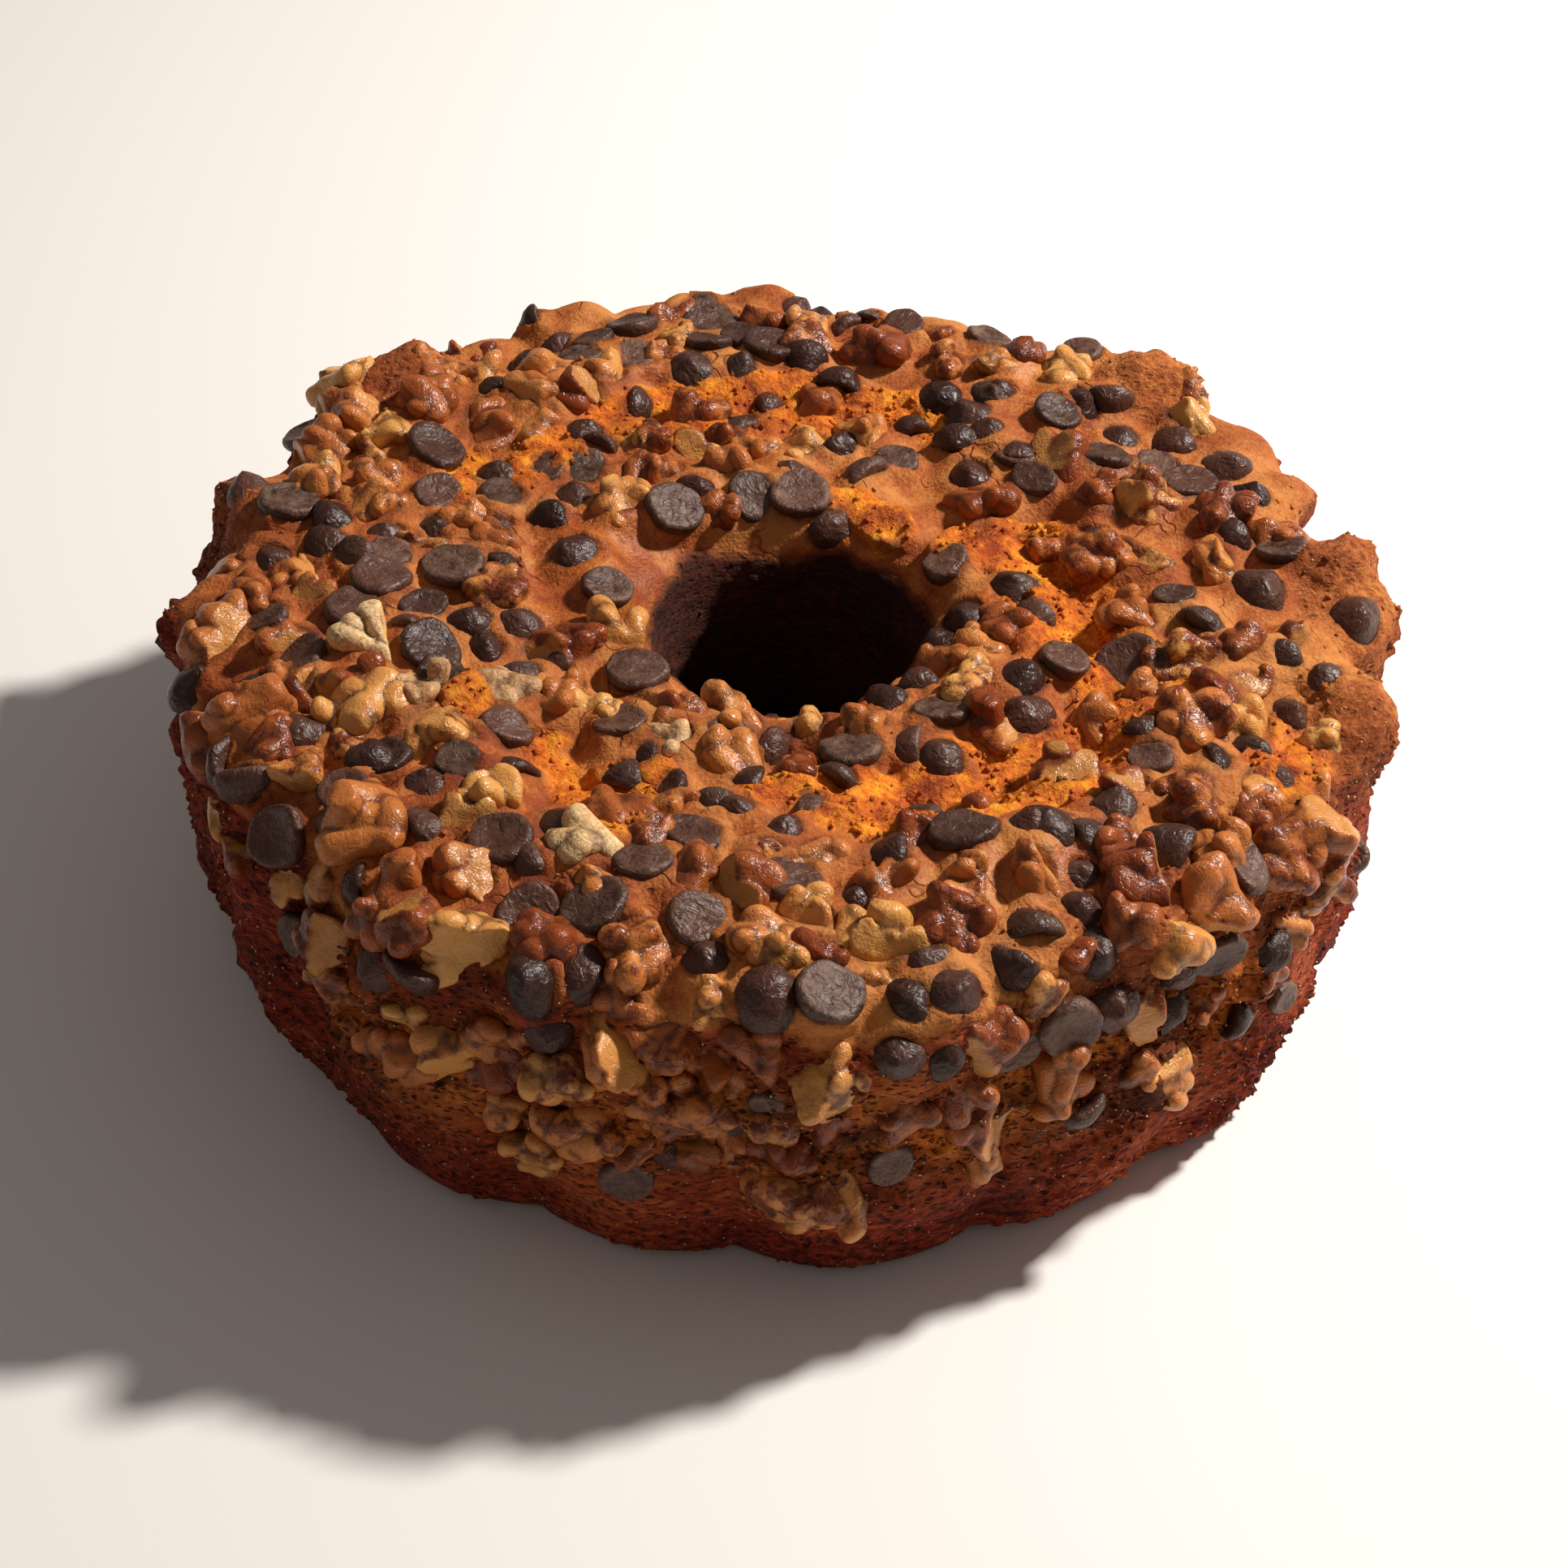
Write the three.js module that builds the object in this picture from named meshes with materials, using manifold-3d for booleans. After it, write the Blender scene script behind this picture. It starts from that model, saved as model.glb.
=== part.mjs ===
// A ring-shaped coffee cake baked in a fluted tube pan, standing the way it was baked:
// flutes down the sides, open crumb and cracked skin on top, chocolate chips and walnut
// pieces sunk in it all over.
// Millimetres, +Z up. The origin is the middle of the base, on the surface it stands on.
// Azimuths are in degrees, 0 along +X and 90 along +Y; the side seen first is at 270.

import * as THREE from "three";
import { mergeVertices } from "three/addons/utils/BufferGeometryUtils.js";
import Module from "manifold-3d";

// ---- Driving dimensions --------------------------------------------------------------

// Outer wall, from the foot up
const BASE_RADIUS = 115; // foot of the wall, at the top of a big flute
const KNEE_RADIUS = 121; // where the rounded foot ends
const KNEE_HEIGHT = 12.7;
const WALL_RADIUS = 126.4; // the full radius of a big flute
const WALL_FULL_HEIGHT = 25;

// Flutes: a big and a small one side by side, eight times round
const FLUTE_PAIRS = 8;
const FLUTE_PHASE = 8.25; // azimuth of the first big flute's middle
const BIG_FLUTE_HALF = 12.25; // half the width of a big flute, degrees
const SMALL_SET_BACK = 0.3; // how far a small flute stays behind, as a share of the groove
const GROOVE_DEPTH = 5.6;
const FLUTE_ROUNDNESS = 2.2; // exponent of the flute's arch

// Top: the ring rises to a crest between wall and hole
const RIM_HEIGHT = 74.4;
const CREST_HEIGHT = 4;
const CREST_RADIUS = 88;
const CREST_SPREAD = 20;
const TILT_X = -1.4; // the top leans a little, height lost at the +X and +Y rims
const TILT_Y = -1.45;
const COLLAR_START = 46; // inside this radius the top curls down into the hole
const COLLAR_SPAN = 20;
const COLLAR_DROP = 3;
const SHOULDER_BLEND = 11; // smoothing between wall and top
const COLLAR_BLEND = 18; // smoothing between top and hole
const FOOT_BLEND = 1.5;

// Hole left by the pan's tube, wider at the foot
const HOLE_RADIUS = 25.5;
const HOLE_FLARE = 5.5;
const HOLE_FLARE_HEIGHT = 70;
const HOLE_WOBBLE = [[1.2, 3, 0.6], [0.8, 5, 2.0]]; // size, turns per round, phase

// Rises and hollows of the top: azimuth, radius, height, half width across, half width in and out
const HUMPS = [
  [48, 118, 9, 15, 13],
  [140, 114, 6, 15, 11],
  [166, 116, 5.5, 13, 10],
  [8, 116, 4, 16, 10],
  [25, 117, 2.5, 12, 9],
  [95, 112, 2, 16, 10],
  [120, 112, -1, 12, 12],
  [84, 116, -2, 9, 8],
  [70, 112, 1.5, 10, 8],
  [155, 45, 3, 26, 13],
  [176, 66, 2, 14, 9],
  [90, 40, 3, 30, 12],
  [300, 96, 3, 20, 12],
  [270, 44, -7, 9, 10],
  [232, 60, 1.5, 20, 10],
  [205, 92, 2, 18, 12],
  [340, 50, 2, 18, 9],
];

// Swellings of the wall: azimuth, height, depth, half width across, half height
const WALL_SWELLS = [
  [47, 68, 6.5, 15, 16],
  [8, 66, 2.2, 18, 18],
  [30, 66, 1.5, 12, 14],
  [165, 66, 2.2, 16, 14],
  [141, 68, 2, 14, 12],
  [236, 56, 1.5, 20, 8],
  [275, 44, -3, 16, 8],
  [262, 56, -2.5, 14, 7],
  [292, 58, -2, 16, 8],
  [345, 52, -2, 14, 16],
];

// Splits where the skin tore and wet crumb shows: azimuth from, azimuth to, radius at
// each end, depth, half width
const SPLITS = [
  [62, 126, 75, 75, 5, 7],
  [-14, 34, 65, 58, 5.5, 6.5],
  [290, 346, 67, 77, 5.5, 8.5],
  [222, 250, 70, 68, 3.5, 6],
  [138, 152, 84, 82, 3, 6],
];
const SPLIT_WANDER = 1.5; // how far a split strays from its line
const SPLIT_WANDERS = 17; // times per round
const SPLIT_END = 0.24; // share of its half length over which a split runs out

// Crags: a few long ripples that run through one another
const CRAG_SEED = 11;
const CRAG_COUNT = 14;
const CRAG_LONGEST = 46;
const CRAG_SHORTEST = 15;
const CRAG_SIZE = 0.9; // on the skin
const CRAG_SHOULDER = 1.5; // more where the outer edge broke up, from this height
const CRAG_SHOULDER_HEIGHT = 46;
const CRAG_FADE = 10; // none at the foot, so that the cake stands flat

// Mesh of the body
const STEPS_BIG_FLUTE = 6;
const STEPS_SMALL_FLUTE = 4;
const CORE_RADIUS = 76; // middle of the ring, from where the surface is found
const CORE_HEIGHT = 34;
const WALL_STEPS = 7;
const TOP_STEPS = 8;
const HOLE_STEPS = 3;
const BASE_STEPS = 3;

// Toppings
const POCKET_GAP = 0.32; // clear space round a piece that is its own solid
const CHIP_SIDES = 6;
const FUSED_CHIP_SIDES = 5;
const CHIP_HEIGHT = 0.62; // height of a chip over its length
const CHIP_SUNK = { flat: 0.3, cone: 0.2, side: 0.34 }; // share of the length below the skin
const NUT_SUNK = 0.3; // share of a nut's height below the skin, measured from its middle
const NUT_DENT = 0.22; // the crease down a nut's back
const NUT_LUMP = 0.13;
const LONG_NUT = 15; // pieces from this length up have finer faces

// Walnut pieces large enough to be solids of their own.
// On top: azimuth, radius, length, width, height, heading of the length
const LARGE_NUTS_ON_TOP = [
  [143, 121, 15, 10, 9, 10],
  [154, 114, 14, 9, 8, -5],
  [141, 104, 13, 12, 9, 60],
  [138, 90, 20, 9, 8, 105],
  [124, 86, 13, 9, 8, 10],
  [163, 107, 13, 10, 8, 20],
  [164, 93, 15, 8, 7, -15],
  [187, 117, 18, 11, 9, 90],
  [195, 88, 13, 12, 9, 30],
  [200, 49, 18, 13, 10, 20],
  [204, 115, 15, 12, 10, -30],
  [208, 95, 18, 11, 9, 20],
  [217, 85, 16, 10, 9, -35],
  [224, 111, 17, 12, 10, 60],
  [230, 89, 13, 11, 8, 60],
  [237, 108, 14, 9, 9, -40],
  [240, 120, 13, 11, 10, 60],
  [256, 110, 13, 11, 9, -70],
  [266, 94, 13, 11, 9, -40],
  [268, 107, 14, 9, 8, -10],
  [280, 106, 16, 14, 10, 50],
  [288, 105, 15, 12, 9, 40],
  [308, 109, 15, 13, 10, 60],
  [321, 102, 15, 9, 9, 80],
  [317, 114, 13, 10, 8, 20],
  [348, 84, 18, 10, 8, 10],
  [333, 91, 15, 10, 9, 25],
  [357, 72, 14, 9, 8, -50],
  [16, 70, 14, 11, 9, 0],
  [27, 60, 14, 9, 8, -10],
];
// On the wall: azimuth, height, length, width, thickness, tilt of the length
const LARGE_NUTS_ON_WALL = [
  [262, 50, 22, 11, 9, 5],
  [273, 31, 25, 11, 9, -8],
  [274, 61, 14, 13, 9, 30],
  [253, 42, 14, 12, 9, 0],
  [296, 50, 19, 8, 8, 75],
];

// Chocolate chips large enough to be solids of their own: azimuth, radius, length, lie
const LARGE_CHIPS = [
  [181, 85, 13, "flat"],
  [149, 91, 13, "flat"],
  [169, 97, 12, "side"],
  [176, 70, 12, "flat"],
  [175, 109, 10, "cone"],
  [196, 101, 11, "flat"],
  [199, 77, 12, "flat"],
  [190, 66, 11, "cone"],
  [217, 99, 12, "side"],
  [229, 102, 11, "side"],
  [237, 98, 12, "flat"],
  [241, 88, 12, "cone"],
  [244, 109, 13, "flat"],
  [251, 104, 13, "flat"],
  [261, 103, 11, "flat"],
  [252, 118, 12, "cone"],
  [258, 82, 12, "flat"],
  [295, 110, 12, "side"],
  [301, 110, 10, "cone"],
  [313, 94, 11, "cone"],
  [291, 118, 12, "side"],
  [37, 86, 12, "flat"],
  [0, 119, 12, "cone"],
];

// Smaller chips, fused to the cake, at the places that show: azimuth, radius, length
const CHIPS_ON_TOP = [
  [27, 98, 12], [29, 109, 12], [46, 103, 11], [49, 89, 10], [59, 91, 9], [48, 75, 9],
  [40, 70, 10], [22, 69, 10], [14, 97, 10], [1, 81, 9], [344, 106, 10], [329, 101, 10],
  [324, 90, 10], [333, 54, 11], [357, 50, 11], [101, 117, 11], [90, 118, 11], [84, 108, 10],
  [97, 99, 10], [98, 86, 9], [115, 80, 11], [116, 103, 9], [67, 84, 10], [69, 74, 11],
  [66, 58, 9], [51, 63, 12], [78, 58, 9], [105, 60, 8], [89, 46, 10], [72, 50, 12],
  [102, 38, 11], [119, 43, 9], [72, 32, 11], [26, 38, 10], [0, 38, 12], [120, 121, 9],
  [151, 122, 11], [170, 86, 10], [158, 65, 9], [141, 69, 9], [163, 47, 12], [208, 60, 10],
  [220, 73, 11], [224, 96, 10], [228, 80, 11], [250, 65, 9], [263, 70, 9], [276, 68, 10],
  [254, 93, 11], [279, 96, 10], [283, 85, 12], [294, 86, 13], [304, 92, 12], [308, 98, 11],
];
// Azimuth, height, length
const CHIPS_ON_WALL = [
  [194, 64, 12], [301, 62, 11], [313, 64, 11], [308, 53, 11], [291, 60, 10], [233, 65, 11],
  [334, 60, 9], [261, 38, 9], [257, 32, 10],
];

// Smaller walnut pieces, fused to the cake; columns as for the large ones
const NUTS_ON_TOP = [
  [149, 105, 11, 8, 8, 0],
  [130, 91, 10, 8, 8, 80],
  [183, 99, 10, 8, 7, 0],
  [246, 78, 11, 9, 8, 0],
  [42, 57, 12, 9, 8, -15],
  [259, 53, 12, 10, 9, 0],
  [107, 47, 12, 7, 7, -10],
  [86, 58, 10, 8, 7, 0],
];
const NUTS_ON_WALL = [
  [288, 44, 12, 11, 9, 90],
  [245, 50, 17, 8, 8, 8],
  [236, 47, 17, 8, 7, -15],
  [226, 62, 11, 9, 8, 70],
  [328, 62, 12, 10, 8, 30],
];

// Toppings strewn between those, by a rule: kept apart, fewer on the bare skin
const STREWN_SEED = 7;
const STREWN_TRIES = 420;
const STREWN_CHIPS = 7;
const STREWN_NUTS = 6;
const STREWN_LENGTH = [8, 10.5];
const STREWN_CLEAR = 0.56; // share of the two lengths kept between middles
const STREWN_RADII = [48, 118];
const BARE_SKIN = [355, 85]; // azimuths, through 0, with little on them
const BARE_CHANCE = 0.2;

// ---- Small helpers -------------------------------------------------------------------

const RAD = Math.PI / 180;
const clamp = (value, low, high) => Math.min(Math.max(value, low), high);
const wrap = (angle) => ((((angle + 180) % 360) + 360) % 360) - 180;
const bell = (distance, spread) => Math.exp(-((distance / spread) ** 2));

// The same draws each run, from a 32-bit seed
function draws(seed) {
  let state = seed >>> 0;
  return () => {
    state = (state + 0x6d2b79f5) >>> 0;
    let mixed = Math.imul(state ^ (state >>> 15), state | 1);
    mixed = (mixed + Math.imul(mixed ^ (mixed >>> 7), mixed | 61)) ^ mixed;
    return ((mixed ^ (mixed >>> 14)) >>> 0) / 4294967296;
  };
}

// Lesser of two values, with the corner between them rounded
function smoothMin(a, b, blend) {
  const overlap = Math.max(blend - Math.abs(a - b), 0) / blend;
  return Math.min(a, b) - (overlap * overlap * blend) / 4;
}

// ---- The cake's surface --------------------------------------------------------------

// 1 along the top of a big flute, 0 at the bottom of a groove
function flute(azimuth) {
  const pitch = 360 / FLUTE_PAIRS;
  const turned = azimuth - FLUTE_PHASE + pitch / 2;
  const off = Math.abs((((turned % pitch) + pitch) % pitch) - pitch / 2);
  if (off <= BIG_FLUTE_HALF) {
    return 1 - (off / BIG_FLUTE_HALF) ** FLUTE_ROUNDNESS;
  }
  const smallHalf = pitch / 2 - BIG_FLUTE_HALF;
  return (1 - SMALL_SET_BACK) * (1 - ((pitch / 2 - off) / smallHalf) ** FLUTE_ROUNDNESS);
}

function wallRadius(azimuth, height) {
  const up = Math.max(height, 0);
  const foot = clamp(up / KNEE_HEIGHT, 0, 1);
  const above = clamp((up - KNEE_HEIGHT) / (WALL_FULL_HEIGHT - KNEE_HEIGHT), 0, 1);
  const rounded = (KNEE_RADIUS - BASE_RADIUS) * Math.sqrt(1 - (1 - foot) ** 2);
  const full = (WALL_RADIUS - KNEE_RADIUS) * (1 - (1 - above) ** 2);
  let radius = BASE_RADIUS + rounded + full - GROOVE_DEPTH * (1 - flute(azimuth));
  for (const [at, level, depth, across, upright] of WALL_SWELLS) {
    const aside = wrap(azimuth - at) * RAD * WALL_RADIUS;
    radius += depth * bell(aside, across) * bell(height - level, upright);
  }
  return radius;
}

function topHeight(azimuth, radius) {
  const lean = (TILT_X * Math.cos(azimuth * RAD) + TILT_Y * Math.sin(azimuth * RAD));
  let height = RIM_HEIGHT + (lean * radius) / WALL_RADIUS;
  height += CREST_HEIGHT * bell(radius - CREST_RADIUS, CREST_SPREAD);
  height -= COLLAR_DROP * clamp((COLLAR_START - radius) / COLLAR_SPAN, 0, 1) ** 2;
  for (const [at, out, rise, across, inward] of HUMPS) {
    const aside = wrap(azimuth - at) * RAD * out;
    height += rise * bell(aside, across) * bell(radius - out, inward);
  }
  for (const [from, to, first, last, depth, halfWidth] of SPLITS) {
    const along = wrap(azimuth - (from + to) / 2) / ((to - from) / 2);
    const line = (first + last) / 2 + ((last - first) / 2) * clamp(along, -1, 1);
    const stray = SPLIT_WANDER * Math.sin(azimuth * SPLIT_WANDERS * RAD);
    const fade = clamp((1 + SPLIT_END / 2 - Math.abs(along)) / SPLIT_END, 0, 1);
    height -= depth * fade * bell(radius - line - stray, halfWidth);
  }
  return height;
}

function holeRadius(azimuth, height) {
  let radius = HOLE_RADIUS + HOLE_FLARE * (1 - clamp(height / HOLE_FLARE_HEIGHT, 0, 1));
  for (const [size, turns, phase] of HOLE_WOBBLE) {
    radius += size * Math.sin(turns * azimuth * RAD + phase);
  }
  return radius;
}

// Ripples in every direction, the long ones the highest
const CRAGS = (() => {
  const draw = draws(CRAG_SEED);
  const ripples = [];
  for (let i = 0; i < CRAG_COUNT; i++) {
    const share = i / (CRAG_COUNT - 1);
    const length = CRAG_LONGEST * (CRAG_SHORTEST / CRAG_LONGEST) ** share;
    const up = 2 * draw() - 1;
    const around = 2 * Math.PI * draw();
    const flat = Math.sqrt(1 - up * up);
    const wave = (2 * Math.PI) / length;
    ripples.push({
      wave: [wave * flat * Math.cos(around), wave * flat * Math.sin(around), wave * up],
      phase: 2 * Math.PI * draw(),
      size: Math.sqrt(length / CRAG_LONGEST),
    });
  }
  return ripples;
})();

function crag(x, y, z) {
  let sum = 0;
  for (const { wave, phase, size } of CRAGS) {
    sum += size * Math.sin(wave[0] * x + wave[1] * y + wave[2] * z + phase);
  }
  return sum / Math.sqrt(CRAG_COUNT / 2);
}

// How deep a point lies inside the cake, about in millimetres; below 0 outside
function depthInside(x, y, z) {
  const radius = Math.hypot(x, y);
  const azimuth = Math.atan2(y, x) / RAD;
  const wall = wallRadius(azimuth, z) - radius;
  const top = topHeight(azimuth, radius) - z;
  const hole = radius - holeRadius(azimuth, z);
  const outer = clamp((radius - CREST_RADIUS) / (WALL_RADIUS - CREST_RADIUS), 0, 1);
  const broken = CRAG_SHOULDER * outer * clamp((z - CRAG_SHOULDER_HEIGHT) / CRAG_FADE, 0, 1);
  const relief = (CRAG_SIZE + broken) * crag(x, y, z) * clamp(z / CRAG_FADE, 0, 1);
  const ring = smoothMin(smoothMin(wall, top, SHOULDER_BLEND), hole, COLLAR_BLEND);
  return smoothMin(ring + relief, z, FOOT_BLEND);
}

// Point where a straight way from inside to outside meets the surface
function surfaceBetween(inside, outside) {
  const low = inside.clone();
  const high = outside.clone();
  const middle = new THREE.Vector3();
  for (let i = 0; i < 30; i++) {
    middle.addVectors(low, high).multiplyScalar(0.5);
    (depthInside(middle.x, middle.y, middle.z) > 0 ? low : high).copy(middle);
  }
  return middle.clone();
}

function normalAt(point) {
  const step = 2;
  const slope = (dx, dy, dz) =>
    depthInside(point.x - dx, point.y - dy, point.z - dz) -
    depthInside(point.x + dx, point.y + dy, point.z + dz);
  return new THREE.Vector3(slope(step, 0, 0), slope(0, step, 0), slope(0, 0, step)).normalize();
}

const polar = (azimuth, radius, height) =>
  new THREE.Vector3(radius * Math.cos(azimuth * RAD), radius * Math.sin(azimuth * RAD), height);

// ---- Body ----------------------------------------------------------------------------

// Azimuths of the mesh, with one at the bottom of every groove
function meshAzimuths() {
  const pitch = 360 / FLUTE_PAIRS;
  const azimuths = [];
  for (let pair = 0; pair < FLUTE_PAIRS; pair++) {
    const groove = FLUTE_PHASE + pair * pitch - BIG_FLUTE_HALF;
    for (let i = 0; i < STEPS_BIG_FLUTE; i++) {
      azimuths.push(groove + (2 * BIG_FLUTE_HALF * i) / STEPS_BIG_FLUTE);
    }
    const smallWidth = pitch - 2 * BIG_FLUTE_HALF;
    for (let i = 0; i < STEPS_SMALL_FLUTE; i++) {
      azimuths.push(groove + 2 * BIG_FLUTE_HALF + (smallWidth * i) / STEPS_SMALL_FLUTE);
    }
  }
  return azimuths;
}

// Points to aim at from the core, round a box about the ring's cut face
function aims(azimuth) {
  const foot = BASE_RADIUS - GROOVE_DEPTH * (1 - flute(azimuth));
  const outer = WALL_RADIUS + 12;
  const inner = HOLE_RADIUS - 8;
  const top = RIM_HEIGHT + 18;
  const corners = [[foot, 0], [outer, 8], [outer, top - 12], [inner, top - 8], [inner + 12, 0]];
  const steps = [1, WALL_STEPS, TOP_STEPS, HOLE_STEPS, BASE_STEPS];
  const points = [];
  corners.forEach(([radius, height], side) => {
    const [nextRadius, nextHeight] = corners[(side + 1) % corners.length];
    for (let i = 0; i < steps[side]; i++) {
      const share = i / steps[side];
      points.push([radius + (nextRadius - radius) * share, height + (nextHeight - height) * share]);
    }
  });
  return points;
}

function bodyGeometry() {
  const positions = [];
  const azimuths = meshAzimuths();
  let rows = 0;
  for (const azimuth of azimuths) {
    const core = polar(azimuth, CORE_RADIUS, CORE_HEIGHT);
    const targets = aims(azimuth);
    rows = targets.length;
    for (const [radius, height] of targets) {
      const aim = polar(azimuth, radius, height);
      const far = aim.sub(core).multiplyScalar(1.4).add(core);
      const point = surfaceBetween(core, far);
      positions.push(point.x, point.y, Math.abs(point.z) < 0.02 ? 0 : point.z);
    }
  }
  const faces = [];
  for (let i = 0; i < azimuths.length; i++) {
    const next = (i + 1) % azimuths.length;
    for (let j = 0; j < rows; j++) {
      const up = (j + 1) % rows;
      const [a, b] = [i * rows + j, next * rows + j];
      const [c, d] = [next * rows + up, i * rows + up];
      faces.push(a, b, c, a, c, d);
    }
  }
  const geometry = new THREE.BufferGeometry();
  geometry.setAttribute("position", new THREE.Float32BufferAttribute(positions, 3));
  geometry.setIndex(faces);
  return geometry;
}

// ---- Toppings ------------------------------------------------------------------------

// A slumped drop of chocolate about its middle, its flat base down
function chipGeometry(length, sides, grow = 0) {
  const half = length / 2 + grow;
  const height = length * CHIP_HEIGHT;
  const profile = [
    new THREE.Vector2(0, -height / 2 - grow),
    new THREE.Vector2(half * 0.96, -height * 0.36 - grow),
    new THREE.Vector2(half * 0.66, height * 0.2 + grow * 0.6),
    new THREE.Vector2(0, height / 2 + grow),
  ];
  const geometry = new THREE.LatheGeometry(profile, sides);
  geometry.rotateX(90 * RAD);
  return geometry;
}

// A broken piece of walnut: an uneven lump with a crease down its back
function nutGeometry(length, width, height, detail, seed, grow = 0) {
  const geometry = new THREE.OctahedronGeometry(1, detail);
  const draw = draws(seed * 977 + 13);
  const phases = [draw(), draw(), draw()].map((share) => share * 2 * Math.PI);
  const hook = 0.5 * (draw() - 0.5);
  const places = geometry.getAttribute("position");
  const at = new THREE.Vector3();
  for (let i = 0; i < places.count; i++) {
    at.fromBufferAttribute(places, i).normalize();
    const lumps =
      Math.sin(3.1 * at.x + phases[0]) +
      Math.sin(4.3 * at.y + phases[1]) * Math.cos(2.6 * at.x + phases[2]);
    const crease = NUT_DENT * bell(at.y, 0.34) * Math.max(at.z, 0);
    const reach = 1 + NUT_LUMP * lumps - crease;
    const bend = hook * (at.x * at.x - 0.4) * (width / 2);
    places.setXYZ(
      i,
      at.x * (reach * (length / 2) + grow),
      at.y * (reach * (width / 2) + grow) + bend,
      at.z * (reach * (height / 2) + grow),
    );
  }
  return geometry;
}

// Turn and place for a piece: its length along the skin at an angle from the way round
function lieOn(point, normal, turn, rise) {
  const around = new THREE.Vector3(-point.y, point.x, 0).normalize();
  const level = around.addScaledVector(normal, -around.dot(normal)).normalize();
  const inward = new THREE.Vector3().crossVectors(normal, level);
  const along = level
    .clone()
    .multiplyScalar(Math.cos(turn * RAD))
    .addScaledVector(inward, Math.sin(turn * RAD));
  const across = new THREE.Vector3().crossVectors(normal, along);
  const place = new THREE.Matrix4().makeBasis(along, across, normal);
  return place.setPosition(point.clone().addScaledVector(normal, rise));
}

const onTop = (azimuth, radius) =>
  surfaceBetween(polar(azimuth, radius, CORE_HEIGHT), polar(azimuth, radius, RIM_HEIGHT + 40));
const onWall = (azimuth, height) =>
  surfaceBetween(polar(azimuth, CORE_RADIUS, height), polar(azimuth, WALL_RADIUS + 30, height));

// Near the edge a place on top still finds the shoulder, not the air beside it
const EDGE_RADIUS = 117;
function topPoint(azimuth, radius) {
  if (radius <= EDGE_RADIUS) {
    return onTop(azimuth, radius);
  }
  const core = polar(azimuth, radius - 40, CORE_HEIGHT);
  return surfaceBetween(core, polar(azimuth, radius + 40, 2 * RIM_HEIGHT - CORE_HEIGHT));
}

function nutPlace(point, height, turn) {
  const normal = normalAt(point);
  return lieOn(point, normal, turn, height * (0.5 - NUT_SUNK) - height * 0.1);
}

function chipPlace(point, length, lie, turn) {
  const place = lieOn(point, normalAt(point), turn, length * (0.31 - CHIP_SUNK[lie]));
  if (lie === "flat") {
    place.multiply(new THREE.Matrix4().makeRotationX(172 * RAD));
  }
  if (lie === "side") {
    place.multiply(new THREE.Matrix4().makeRotationY(74 * RAD));
  }
  return place;
}

const LIES = ["flat", "cone", "side"];

// Every topping as { kind, own, place, make(grow) }, in the order of the lists above
function toppings() {
  const list = [];
  const addNut = (own, point, length, width, height, turn) => {
    const seed = list.length + 1;
    const detail = length >= LONG_NUT ? 2 : 1;
    const place = nutPlace(point, height, turn);
    const make = (grow) => nutGeometry(length, width, height, detail, seed, grow);
    list.push({ kind: "walnut", own, length, point, place, make });
  };
  const addChip = (own, point, length, lie, turn) => {
    const place = chipPlace(point, length, lie, turn);
    const sides = own ? CHIP_SIDES : FUSED_CHIP_SIDES;
    const make = (grow) => chipGeometry(length, sides, grow);
    list.push({ kind: "chip", own, length, point, place, make });
  };
  const headingTurn = (heading, azimuth) => heading - azimuth - 90;

  for (const [own, rows] of [[true, LARGE_NUTS_ON_TOP], [false, NUTS_ON_TOP]]) {
    for (const [azimuth, radius, length, width, height, heading] of rows) {
      addNut(own, topPoint(azimuth, radius), length, width, height, headingTurn(heading, azimuth));
    }
  }
  for (const [own, rows] of [[true, LARGE_NUTS_ON_WALL], [false, NUTS_ON_WALL]]) {
    for (const [azimuth, level, length, width, height, tilt] of rows) {
      addNut(own, onWall(azimuth, level), length, width, height, tilt);
    }
  }
  LARGE_CHIPS.forEach(([azimuth, radius, length, lie], i) => {
    addChip(true, topPoint(azimuth, radius), length, lie, 47 * i);
  });
  CHIPS_ON_TOP.forEach(([azimuth, radius, length], i) => {
    addChip(false, topPoint(azimuth, radius), length, LIES[i % 3], 61 * i);
  });
  CHIPS_ON_WALL.forEach(([azimuth, level, length], i) => {
    addChip(false, onWall(azimuth, level), length, LIES[i % 2], 83 * i);
  });
  strew(list, addNut, addChip);
  return list;
}

// Fills the gaps between the listed toppings with a few more
function strew(list, addNut, addChip) {
  const draw = draws(STREWN_SEED);
  let chips = 0;
  let nuts = 0;
  for (let i = 0; i < STREWN_TRIES; i++) {
    const azimuth = 360 * draw();
    const share = draw();
    const length = STREWN_LENGTH[0] + (STREWN_LENGTH[1] - STREWN_LENGTH[0]) * draw();
    const turn = 360 * draw();
    const chance = draw();
    const radius = STREWN_RADII[0] + (STREWN_RADII[1] - STREWN_RADII[0]) * Math.sqrt(share);
    const bare = azimuth > BARE_SKIN[0] || azimuth < BARE_SKIN[1];
    if (bare && chance > BARE_CHANCE) {
      continue;
    }
    const point = topPoint(azimuth, radius);
    const crowded = list.some(
      (other) => other.point.distanceTo(point) < STREWN_CLEAR * (other.length + length),
    );
    if (crowded) {
      continue;
    }
    if (chips < STREWN_CHIPS && (chips * STREWN_NUTS <= nuts * STREWN_CHIPS || nuts >= STREWN_NUTS)) {
      addChip(false, point, length, LIES[i % 3], turn);
      chips += 1;
    } else if (nuts < STREWN_NUTS) {
      addNut(false, point, length, length * 0.75, length * 0.7, turn);
      nuts += 1;
    }
  }
}

// ---- Joining and cutting -------------------------------------------------------------

const wasm = await Module();
wasm.setup();

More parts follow.
